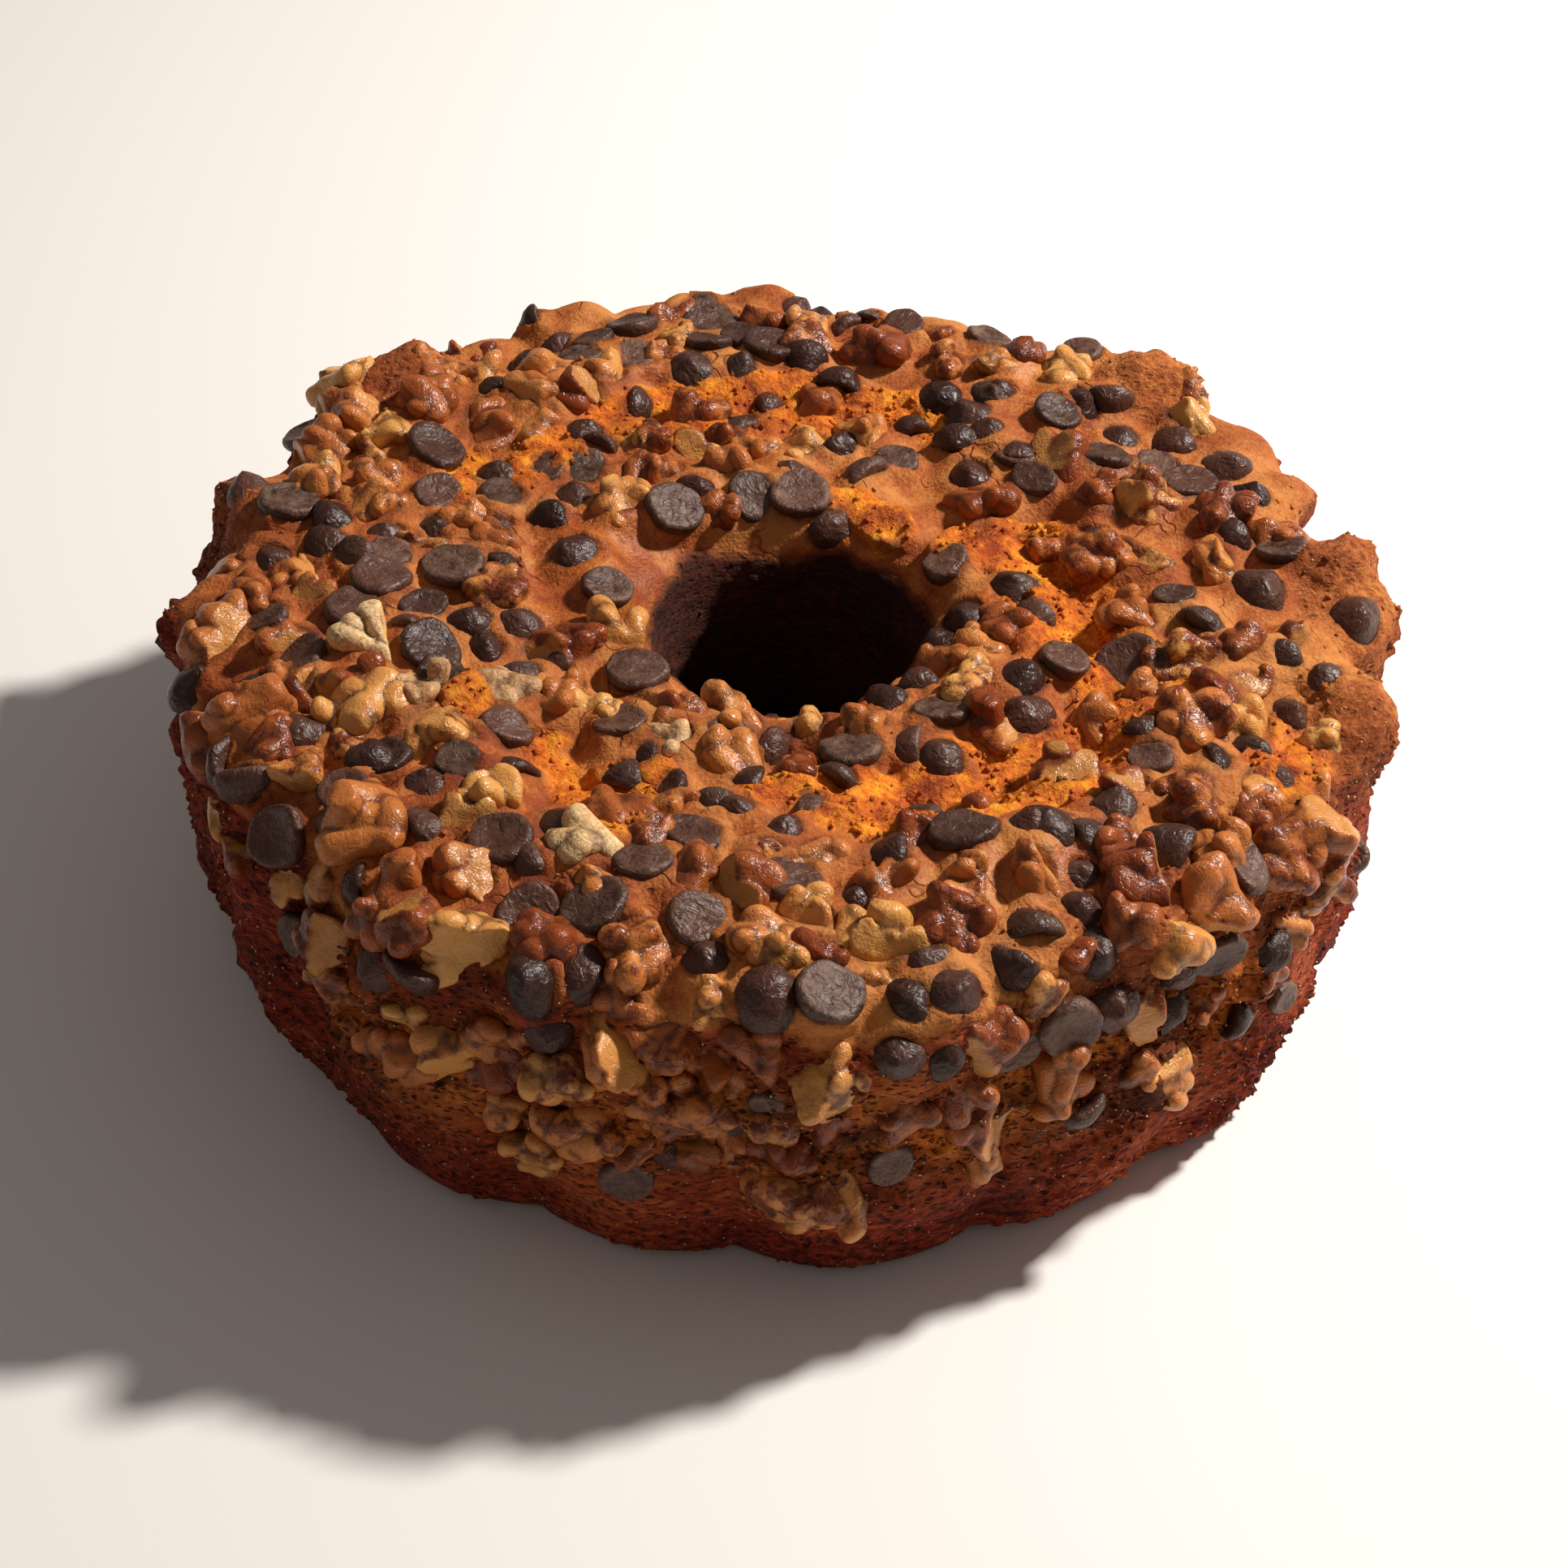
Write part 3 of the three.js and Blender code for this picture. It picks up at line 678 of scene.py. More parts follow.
    # azimuth, radius, length, lie
    large_chips: tuple = (
        (181, 85, 13, Lie.FLAT), (149, 91, 13, Lie.FLAT), (169, 97, 12, Lie.SIDE),
        (176, 70, 12, Lie.FLAT), (175, 109, 10, Lie.CONE), (196, 101, 11, Lie.FLAT),
        (199, 77, 12, Lie.FLAT), (190, 66, 11, Lie.CONE), (217, 99, 12, Lie.SIDE),
        (229, 102, 11, Lie.SIDE), (237, 98, 12, Lie.FLAT), (241, 88, 12, Lie.CONE),
        (244, 109, 13, Lie.FLAT), (251, 104, 13, Lie.FLAT), (261, 103, 11, Lie.FLAT),
        (252, 118, 12, Lie.CONE), (258, 82, 12, Lie.FLAT), (295, 110, 12, Lie.SIDE),
        (301, 110, 10, Lie.CONE), (313, 94, 11, Lie.CONE), (291, 118, 12, Lie.SIDE),
        (37, 86, 12, Lie.FLAT), (0, 119, 12, Lie.CONE),
    )
    # azimuth, radius, length
    chips_on_top: tuple = (
        (27, 98, 12), (29, 109, 12), (46, 103, 11), (49, 89, 10), (59, 91, 9), (48, 75, 9),
        (40, 70, 10), (22, 69, 10), (14, 97, 10), (1, 81, 9), (344, 106, 10), (329, 101, 10),
        (324, 90, 10), (333, 54, 11), (357, 50, 11), (101, 117, 11), (90, 118, 11),
        (84, 108, 10), (97, 99, 10), (98, 86, 9), (115, 80, 11), (116, 103, 9), (67, 84, 10),
        (69, 74, 11), (66, 58, 9), (51, 63, 12), (78, 58, 9), (105, 60, 8), (89, 46, 10),
        (72, 50, 12), (102, 38, 11), (119, 43, 9), (72, 32, 11), (26, 38, 10), (0, 38, 12),
        (120, 121, 9), (151, 122, 11), (170, 86, 10), (158, 65, 9), (141, 69, 9),
        (163, 47, 12), (208, 60, 10), (220, 73, 11), (224, 96, 10), (228, 80, 11),
        (250, 65, 9), (263, 70, 9), (276, 68, 10), (254, 93, 11), (279, 96, 10),
        (283, 85, 12), (294, 86, 13), (304, 92, 12), (308, 98, 11),
    )
    # azimuth, height, length
    chips_on_wall: tuple = (
        (194, 64, 12), (301, 62, 11), (313, 64, 11), (308, 53, 11), (291, 60, 10),
        (233, 65, 11), (334, 60, 9), (261, 38, 9), (257, 32, 10),
    )
    # small ones that the solids leave out: azimuth, radius, length
    small_chips_on_top: tuple = (
        (158, 82, 9), (165, 78, 9), (171, 60, 10), (135, 64, 9), (144, 58, 10), (174, 98, 10),
        (188, 90, 11), (197, 64, 9), (197, 112, 9), (206, 77, 10), (220, 83, 9), (209, 106, 10),
        (217, 97, 9), (221, 113, 9), (259, 70, 8), (271, 92, 10), (302, 90, 9), (313, 106, 12),
        (318, 118, 10), (300, 119, 9), (330, 84, 9), (55, 115, 9), (48, 98, 9), (262, 60, 9),
        (286, 50, 11), (303, 58, 9), (282, 57, 9), (178, 38, 9), (87, 119, 9), (81, 112, 8),
        (76, 106, 8), (55, 75, 8), (58, 68, 9), (47, 73, 8), (60, 90, 9), (268, 42, 11),
        (255, 46, 10), (350, 33, 9), (316, 36, 10), (186, 76, 9), (192, 56, 9), (206, 50, 9),
        (152, 70, 9), (164, 118, 9), (131, 100, 10), (112, 94, 9), (128, 74, 9), (242, 64, 9),
        (233, 54, 9),
    )
    # the same on the wall: azimuth, height, length
    small_chips_on_wall: tuple = (
        (220, 52, 10), (250, 64, 10), (357, 60, 10), (270, 55, 9), (284, 66, 9), (231, 44, 9),
        (280, 38, 9), (267, 45, 9), (340, 46, 9), (322, 40, 8),
    )
    # azimuth, radius, length, width, height, heading of the length
    small_nuts_on_top: tuple = (
        (130, 122, 8, 6, 5, 20), (127, 116, 7, 5, 4, 70), (146, 119, 11, 8, 6, -20),
        (153, 103, 8, 6, 5, 60), (245, 92, 12, 9, 7, 20), (232, 116, 12, 9, 7, 75),
        (268, 84, 8, 6, 5, 0), (260, 92, 11, 7, 6, 60), (270, 112, 9, 8, 6, 15),
        (273, 100, 11, 9, 7, -25), (279, 115, 8, 6, 5, 40), (265, 119, 7, 5, 5, 0),
        (291, 97, 14, 6, 5, 85), (315, 108, 9, 7, 5, 10), (298, 118, 8, 6, 5, 30),
        (328, 108, 9, 7, 6, 60), (43, 121, 8, 7, 5, -30), (355, 105, 8, 6, 5, 70),
        (12, 78, 9, 6, 5, -30), (346, 97, 11, 5, 5, 20), (342, 92, 9, 7, 5, -30),
        (352, 46, 13, 8, 7, -60), (335, 36, 12, 8, 7, 10), (325, 45, 13, 9, 7, 60),
        (245, 52, 9, 8, 6, 15), (235, 45, 12, 6, 6, -40), (243, 43, 7, 6, 5, 0),
        (122, 52, 10, 7, 6, 10), (127, 56, 9, 7, 6, 60), (72, 106, 8, 6, 5, 0),
        (97, 56, 9, 7, 6, -20), (208, 84, 14, 11, 7, 40), (203, 96, 13, 7, 6, 30),
        (199, 104, 12, 9, 6, -60), (211, 66, 13, 10, 7, 15), (217, 56, 14, 8, 7, 70),
        (225, 52, 13, 7, 6, -10), (252, 72, 10, 7, 6, 30), (170, 78, 12, 6, 6, 20),
        (158, 96, 10, 6, 6, 80), (148, 112, 12, 8, 7, 40), (136, 111, 12, 7, 6, -50),
        (133, 82, 12, 8, 7, 70), (112, 58, 12, 9, 7, -30), (104, 62, 10, 7, 6, 45),
        (192, 104, 12, 8, 6, 0), (182, 110, 13, 9, 7, 75), (177, 118, 11, 8, 6, 20),
        (231, 97, 11, 8, 6, 15), (212, 101, 12, 8, 6, -70), (249, 98, 10, 7, 6, 0),
        (283, 92, 11, 8, 7, 50), (275, 84, 9, 7, 6, 15), (309, 100, 12, 8, 6, 70),
        (325, 112, 11, 8, 7, 0), (338, 100, 12, 9, 7, 50), (344, 42, 11, 8, 6, 0),
    )
    # azimuth, height, length, width, thickness, tilt of the length
    small_nuts_on_wall: tuple = (
        (208, 65, 9, 7, 6, 0), (212, 62, 10, 8, 6, 40), (218, 62, 8, 6, 5, 0),
        (244, 57, 14, 8, 7, 10), (265, 58, 13, 9, 7, -20), (260, 65, 15, 9, 7, 10),
        (267, 41, 10, 8, 7, 0), (263, 40, 8, 6, 6, 60), (271, 42, 11, 8, 7, 10),
        (275, 50, 9, 7, 6, 40), (270, 49, 9, 7, 6, -30), (313, 50, 8, 6, 5, 60),
        (319, 50, 8, 6, 5, 0), (323, 58, 10, 7, 6, 30), (334, 70, 10, 7, 6, 0),
        (248, 30, 11, 9, 6, 80), (236, 57, 12, 7, 6, 0), (251, 55, 12, 8, 7, -15),
        (281, 53, 12, 8, 7, 20), (286, 56, 10, 8, 7, 0), (304, 58, 11, 8, 7, 70),
        (304, 44, 10, 7, 6, 10), (227, 54, 12, 6, 6, -20),
    )
    toppings: list[Topping] = field(default_factory=list)

    def lay(self) -> list[Topping]:
        """Place every topping of the solids, in their order, and then the small ones.

        Returns:
            All toppings.
        """
        self.lay_nuts(True, self.large_nuts_on_top, on_top=True)
        self.lay_nuts(False, self.nuts_on_top, on_top=True)
        self.lay_nuts(True, self.large_nuts_on_wall, on_top=False)
        self.lay_nuts(False, self.nuts_on_wall, on_top=False)
        spots = self.spots(self.large_chips, on_top=True)
        for i, (row, spot) in enumerate(zip(self.large_chips, spots)):
            self.add_chip(True, spot, row[2], row[3], 47 * i)
        self.lay_chips(self.chips_on_top, LIES, 61, on_top=True)
        self.lay_chips(self.chips_on_wall, LIES[:2], 83, on_top=False)
        self.strew()
        self.lay_nuts(False, self.grown(self.small_nuts_on_top), on_top=True)
        self.lay_nuts(False, self.small_nuts_on_wall, on_top=False)
        self.lay_chips(self.grown(self.small_chips_on_top), LIES, 71, on_top=True)
        self.lay_chips(self.small_chips_on_wall, LIES, 37, on_top=False)
        self.strew_small()
        return self.toppings

    def grown(self, rows: tuple) -> tuple:
        """Return rows with their lengths brought to what the photo shows."""
        return tuple((*row[:2], row[2] * self.small_swell, *row[3:]) for row in rows)

    def spots(self, rows: tuple, on_top: bool) -> list[tuple[Array, Array]]:
        """Find where rows of azimuth and radius or height lie.

        Args:
            rows: each starting with those two.
            on_top: whether the second is a radius on top, or else a height on the wall.

        Returns:
            Each row's point and the direction out of the surface there.
        """
        first, second = np.array([row[:2] for row in rows], float).T
        find = self.form.top_points if on_top else self.form.wall_points
        points = find(first, second)
        return list(zip(points, self.form.normals_at(points)))

    def lay_nuts(self, own: bool, rows: tuple, on_top: bool) -> None:
        """Place listed walnut pieces.

        Args:
            own: whether each has a solid of its own.
            rows: their places, sizes and headings, those on top from +X.
            on_top: whether they lie on top, or else on the wall.
        """
        for row, spot in zip(rows, self.spots(rows, on_top)):
            turn = row[5] - row[0] - 90 if on_top else row[5]
            self.add_nut(own, spot, row[2:5], turn)

    def lay_chips(self, rows: tuple, lies: tuple, turn: float, on_top: bool) -> None:
        """Place listed chips, each turned on from the one before."""
        for i, (row, spot) in enumerate(zip(rows, self.spots(rows, on_top))):
            self.add_chip(False, spot, row[2], lies[i % len(lies)], turn * i)

    def lie_on(self, spot: tuple[Array, Array], turn: float) -> Array:
        """Work out how a piece lies on the surface.

        Args:
            spot: point and direction out of the surface.
            turn: of its length from the way round the cake, in degrees.

        Returns:
            Its axes as columns: along, across and out.
        """
        point, normal = spot
        around = np.array([-point[1], point[0], 0])
        around = around / np.linalg.norm(around)
        level = around - normal * (around @ normal)
        level = level / np.linalg.norm(level)
        inward = np.cross(normal, level)
        angle = math.radians(turn)
        along = level * math.cos(angle) + inward * math.sin(angle)
        return np.column_stack([along, np.cross(normal, along), normal])

    def add_nut(self, own: bool, spot: tuple, size: tuple, turn: float) -> None:
        """Add a walnut piece.

        Args:
            own: whether it has a solid of its own.
            spot: point and direction out of the surface.
            size: length, width and height.
            turn: of its length from the way round, in degrees.
        """
        axes = self.lie_on(spot, turn)
        middle = spot[0] + axes[:, 2] * size[2] * self.nut_up
        self.toppings.append(Topping(Kind.WALNUT, own, spot[0], middle, axes, size))

    def add_chip(self, own: bool, spot: tuple, length: float, lie: Lie, turn: float) -> None:
        """Add a chocolate chip.

        Args:
            own: whether it has a solid of its own.
            spot: point and direction out of the surface.
            length: across its base.
            lie: how it came to lie.
            turn: from the way round, in degrees.
        """
        axes = self.lie_on(spot, turn)
        up, axis, tip = self.chip_seats[lie]
        middle = spot[0] + axes[:, 2] * length * up
        tilt = np.array(Matrix.Rotation(math.radians(tip), 3, axis))
        size = (length, length, length * self.chip_height)
        self.toppings.append(Topping(Kind.CHIP, own, spot[0], middle, axes @ tilt, size, lie))

    def crowded(self, point: Array, length: float, clear: float) -> bool:
        """Tell whether a new piece would come too close to one that is there.

        Args:
            point: where it would meet the surface.
            length: of the new piece.
            clear: least gap, as a share of both lengths.

        Returns:
            Whether it would.
        """
        gaps = np.linalg.norm([t.point - point for t in self.toppings], axis=1)
        reach = np.array([t.length for t in self.toppings]) + length
        return bool((gaps < clear * reach).any())

    def bare(self, azimuth: Array | float) -> Array | bool:
        """Tell whether an azimuth is on the side where the skin is mostly bare."""
        return (azimuth > self.bare_skin[0]) | (azimuth < self.bare_skin[1])

    def strew(self) -> None:
        """Fill gaps between the listed toppings, as the solids do."""
        draw = Draws(self.strewn_seed)
        chips = nuts = 0
        low, high = self.strewn_radii
        tries = np.array([[draw() for _ in range(5)] for _ in range(self.strewn_tries)])
        places = np.stack([360 * tries[:, 0], low + (high - low) * np.sqrt(tries[:, 1])], axis=1)
        spots = self.spots(tuple(places), on_top=True)
        shortest, longest = self.strewn_length
        for i, (row, spot) in enumerate(zip(tries, spots)):
            length = shortest + (longest - shortest) * row[2]
            if self.bare(360 * row[0]) and row[4] > self.bare_chance:
                continue
            if self.crowded(spot[0], length, self.strewn_clear):
                continue
            behind = chips * self.strewn_nuts <= nuts * self.strewn_chips
            if chips < self.strewn_chips and (behind or nuts >= self.strewn_nuts):
                self.add_chip(False, spot, length, LIES[i % 3], 360 * row[3])
                chips += 1
            elif nuts < self.strewn_nuts:
                size = (length, *(length * share for share in self.strewn_nut_shape))
                self.add_nut(False, spot, size, 360 * row[3])
                nuts += 1

    def strew_small(self) -> None:
        """Fill what is still free with small chips and nut bits, by a rule."""
        numbers = np.random.default_rng(self.small_seed)
        azimuths = numbers.uniform(0, 360, self.small_tries)
        first, last, chance, lowest, highest = self.small_on_wall
        share = numbers.uniform(0, 1, self.small_tries)
        low = (azimuths > first) & (azimuths < last) & (numbers.uniform(size=len(share)) < chance)
        start, end, over = self.small_on_edge
        edge = (azimuths > start) & (azimuths < end)
        nearest, farthest = self.small_radii
        radii = nearest + (np.where(edge, over, farthest) - nearest) * np.sqrt(share)
        on_top = self.form.top_points(azimuths, radii)
        torn = self.torn.depth(azimuths, radii) > self.small_torn
        # the chance of a piece at each place: none on the bare domes, all of them on the wall
        chances = np.where(self.bare(azimuths), self.small_bare_chance, 1)
        chances = np.where(torn, np.minimum(chances, self.small_torn_chance), chances)
        for at, out, reach in self.small_bare_domes:
            middle = polar(at, out, 0)[0, :2]
            chances[np.hypot(*(on_top[:, :2] - middle).T) < reach] = -1
        chances[low] = 1
        on_wall = self.form.wall_points(azimuths, lowest + (highest - lowest) * share)
        points = np.where(low[:, None], on_wall, on_top)
        normals = self.form.normals_at(points)
        lengths = numbers.uniform(*self.small_length, self.small_tries)
        left = {Kind.CHIP: self.small_counts[0], Kind.WALNUT: self.small_counts[1]}
        for i, (point, normal, length) in enumerate(zip(points, normals, lengths)):
            pick, turn, width = numbers.uniform(0, 1, 3)
            kind = Kind.CHIP if i % 5 < 2 else Kind.WALNUT
            if pick > chances[i] or left[kind] == 0:
                continue
            if self.crowded(point, length, self.small_clear):
                continue
            left[kind] -= 1
            if kind is Kind.CHIP:
                length = np.clip(length, *self.small_chip_length)
                self.add_chip(False, (point, normal), length, LIES[i % 3], 360 * turn)
            else:
                thinnest, thickest = self.small_nut_width
                across = thinnest + (thickest - thinnest) * width
                size = (length, length * across, length * self.nut_height)
                self.add_nut(False, (point, normal), size, 360 * turn)


# ---- Meshes ----


@dataclass
class MeshParts:
    """Points, faces and named values, gathered from many small shapes into one mesh."""

    points: list = field(default_factory=list)
    faces: list = field(default_factory=list)
    values: dict = field(default_factory=dict)
    count: int = 0

    def add(self, points: Array, faces: Array, **values: Array | float) -> None:
        """Add one shape.

        Args:
            points: places in millimetres, one row each.
            faces: rows of three or four point numbers.
            values: one number, or one for each point, under each name.
        """
        self.points.append(points)
        self.faces.append(faces + self.count)
        self.count += len(points)
        for name, value in values.items():
            rows = np.broadcast_to(np.asarray(value, np.float32), len(points))
            self.values.setdefault(name, []).append(rows)

    def make(self, name: str, finish: Material) -> Piece:
        """Make the mesh object.

        Args:
            name: of the piece.
            finish: its material.

        Returns:
            The new object, linked to the scene.
        """
        joined = {key: np.concatenate(rows) for key, rows in self.values.items()}
        points = np.concatenate(self.points) * MM
        sizes = np.concatenate([np.full(len(f), f.shape[1]) for f in self.faces])
        corners = np.concatenate([f.ravel() for f in self.faces])
        return mesh_object(name, points, corners, sizes, joined, finish)


def mesh_object(
    name: str, points: Array, corners: Array, sizes: Array, values: dict, finish: Material
) -> Piece:
    """Make a smooth-shaded mesh object.

    Args:
        name: of the object.
        points: places in metres.
        corners: point numbers of all faces, one face after the other.
        sizes: how many corners each face has.
        values: one number for each point under each name.
        finish: its material.

    Returns:
        The object, linked to the scene.
    """
    mesh = bpy.data.meshes.new(name)
    mesh.vertices.add(len(points))
    mesh.vertices.foreach_set("co", points.astype(np.float32).ravel())
    mesh.loops.add(len(corners))
    mesh.loops.foreach_set("vertex_index", corners.astype(np.int32))
    mesh.polygons.add(len(sizes))
    starts = np.concatenate([[0], np.cumsum(sizes)[:-1]])
    mesh.polygons.foreach_set("loop_start", starts.astype(np.int32))
    mesh.update(calc_edges=True)
    mesh.validate()
    mesh.polygons.foreach_set("use_smooth", np.ones(len(mesh.polygons), bool))
    write_values(mesh, values)
    mesh.materials.append(finish)
    made = bpy.data.objects.new(name, mesh)
    bpy.context.scene.collection.objects.link(made)
    return made


def skin_of(depth: Array, low: Array, step: float) -> tuple[Array, Array]:
    """Find the surface of a field of depths.

    Args:
        depth: how deep each point of a regular block lies, below 0 outside.
        low: the block's first point.
        step: between points.

    Returns:
        Points and four-cornered faces that point outwards.
    """
    grid = openvdb.FloatGrid(4 * step)
    grid.copyFromArray(np.ascontiguousarray(-depth, dtype=np.float32))
    points, _, quads = grid.convertToPolygons(isovalue=0.0, adaptivity=0.0)
    return points * step + low, quads[:, ::-1].astype(np.int64)


def normals_of(points: Array, faces: Array) -> Array:
    """Find which way a mesh of four-cornered faces points.

    Args:
        points: places in millimetres, one row each.
        faces: rows of point numbers.

    Returns:
        The outward direction at each point.
    """
    across = points[faces[:, 2]] - points[faces[:, 0]]
    other = points[faces[:, 3]] - points[faces[:, 1]]
    normals = np.cross(across, other)
    corners = faces.ravel()
    total = np.stack(
        [np.bincount(corners, np.repeat(n, 4), len(points)) for n in normals.T], axis=1
    )
    return total / np.maximum(np.linalg.norm(total, axis=1), 1e-9)[:, None]


def thin(piece: Piece, most: int) -> None:
    """Collapse a piece's finest faces.

    Args:
        piece: to thin, in place.
        most: triangles that it may keep.
    """
    mesh = piece.data
    mesh.calc_loop_triangles()
    count = len(mesh.loop_triangles)
    if count <= most:
        return
    thinner = piece.modifiers.new("thin", "DECIMATE")
    thinner.ratio = most / count
    with bpy.context.temp_override(object=piece, active_object=piece):
        bpy.ops.object.modifier_apply(modifier=thinner.name)
    mesh.validate()
    mesh.polygons.foreach_set("use_smooth", np.ones(len(mesh.polygons), bool))


def write_values(mesh: bpy.types.Mesh, values: dict[str, Array]) -> None:
    """Write named numbers on a mesh.

    Args:
        mesh: to write on.
        values: one number for each point under each name.
    """
    for key, value in values.items():
        layer = mesh.attributes.new(key, "FLOAT", "POINT")
        layer.data.foreach_set("value", value.astype(np.float32))


# ---- Finishes ----

LESS = {"operation": "SUBTRACT"}
TIMES = {"operation": "MULTIPLY"}
TIMES_PLUS = {"operation": "MULTIPLY_ADD"}


def per(size: float) -> float:
    """Turn the size of a pattern in millimetres to a texture's scale."""
    return 1 / MM / size


@dataclass
class Sheet:
    """One material being made: its node tree, and the places that its patterns start from."""

    name: str
    material: Material = field(init=False)

    def __post_init__(self) -> None:
        """Make the empty material."""
        self.material = bpy.data.materials.new(self.name)
        self.material.use_nodes = True
        self.tree = self.material.node_tree
        self.tree.nodes.clear()
        self.place = self.put("TexCoord", out="Object")

    def put(
        self, kind: str, inputs: dict | tuple = (), out: int | str = 0, **settings: object
    ) -> Socket | None:
        """Add a node with its settings, values and links.

        Args:
            kind: Blender's name for it, without "ShaderNode".
            inputs: values, hex colours or the sockets that feed it, in order or by name.
            out: name or number of the output to hand on.
            settings: the node's own, and as stops the places and colours of a colour ramp.

        Returns:
            The output to hand on, if there is one.
        """
        stops = settings.pop("stops", ())
        node = self.tree.nodes.new("ShaderNode" + kind)
        for name, value in settings.items():
            setattr(node, name, value)
        for name, value in inputs.items() if isinstance(inputs, dict) else enumerate(inputs):
            if isinstance(value, Socket):
                self.tree.links.new(value, node.inputs[name])
            else:
                plain = linear(value) if isinstance(value, str) else value
                node.inputs[name].default_value = plain
        while len(stops) > 2 and len(node.color_ramp.elements) < len(stops):
            node.color_ramp.elements.new(0.5)
        for i, (place, colour) in enumerate(stops):
            node.color_ramp.elements[i].position = place
            node.color_ramp.elements[i].color = linear(colour)
        return node.outputs[out] if node.outputs else None

    def total(self, start: float, *rows: tuple) -> Socket:
        """Add weighed patterns up.

        Args:
            start: what they are added to.
            rows: a socket and its weight each.

        Returns:
            The sum.
        """
        for value, weight in rows:
            start = self.put("Math", (value, weight, start), **TIMES_PLUS)
        return start

    def layers(self, colour: Socket | str, *rows: tuple) -> Socket:
        """Lay colours over one another.

        Args:
            colour: the lowest, a socket or a hex text as all of them.
            rows: for each one above, the share that shows of it, how far at most, and itself.

        Returns:
            The colour that is seen.
        """
        for share, most, over in rows:
            cover = self.put("Math", (share, most), **TIMES)
            colour = self.put("Mix", {0: cover, 6: colour, 7: over}, out=2, data_type="RGBA")
        return colour

    def done(self, **surface: object) -> Material:
        """Finish with the surface.

        Args:
            surface: inputs of the principled shader, with underscores for spaces.

        Returns:
            The material.
        """
        inputs = {name.replace("_", " "): value for name, value in surface.items()}
        self.put("OutputMaterial", {"Surface": self.put("BsdfPrincipled", inputs)})
        return self.material


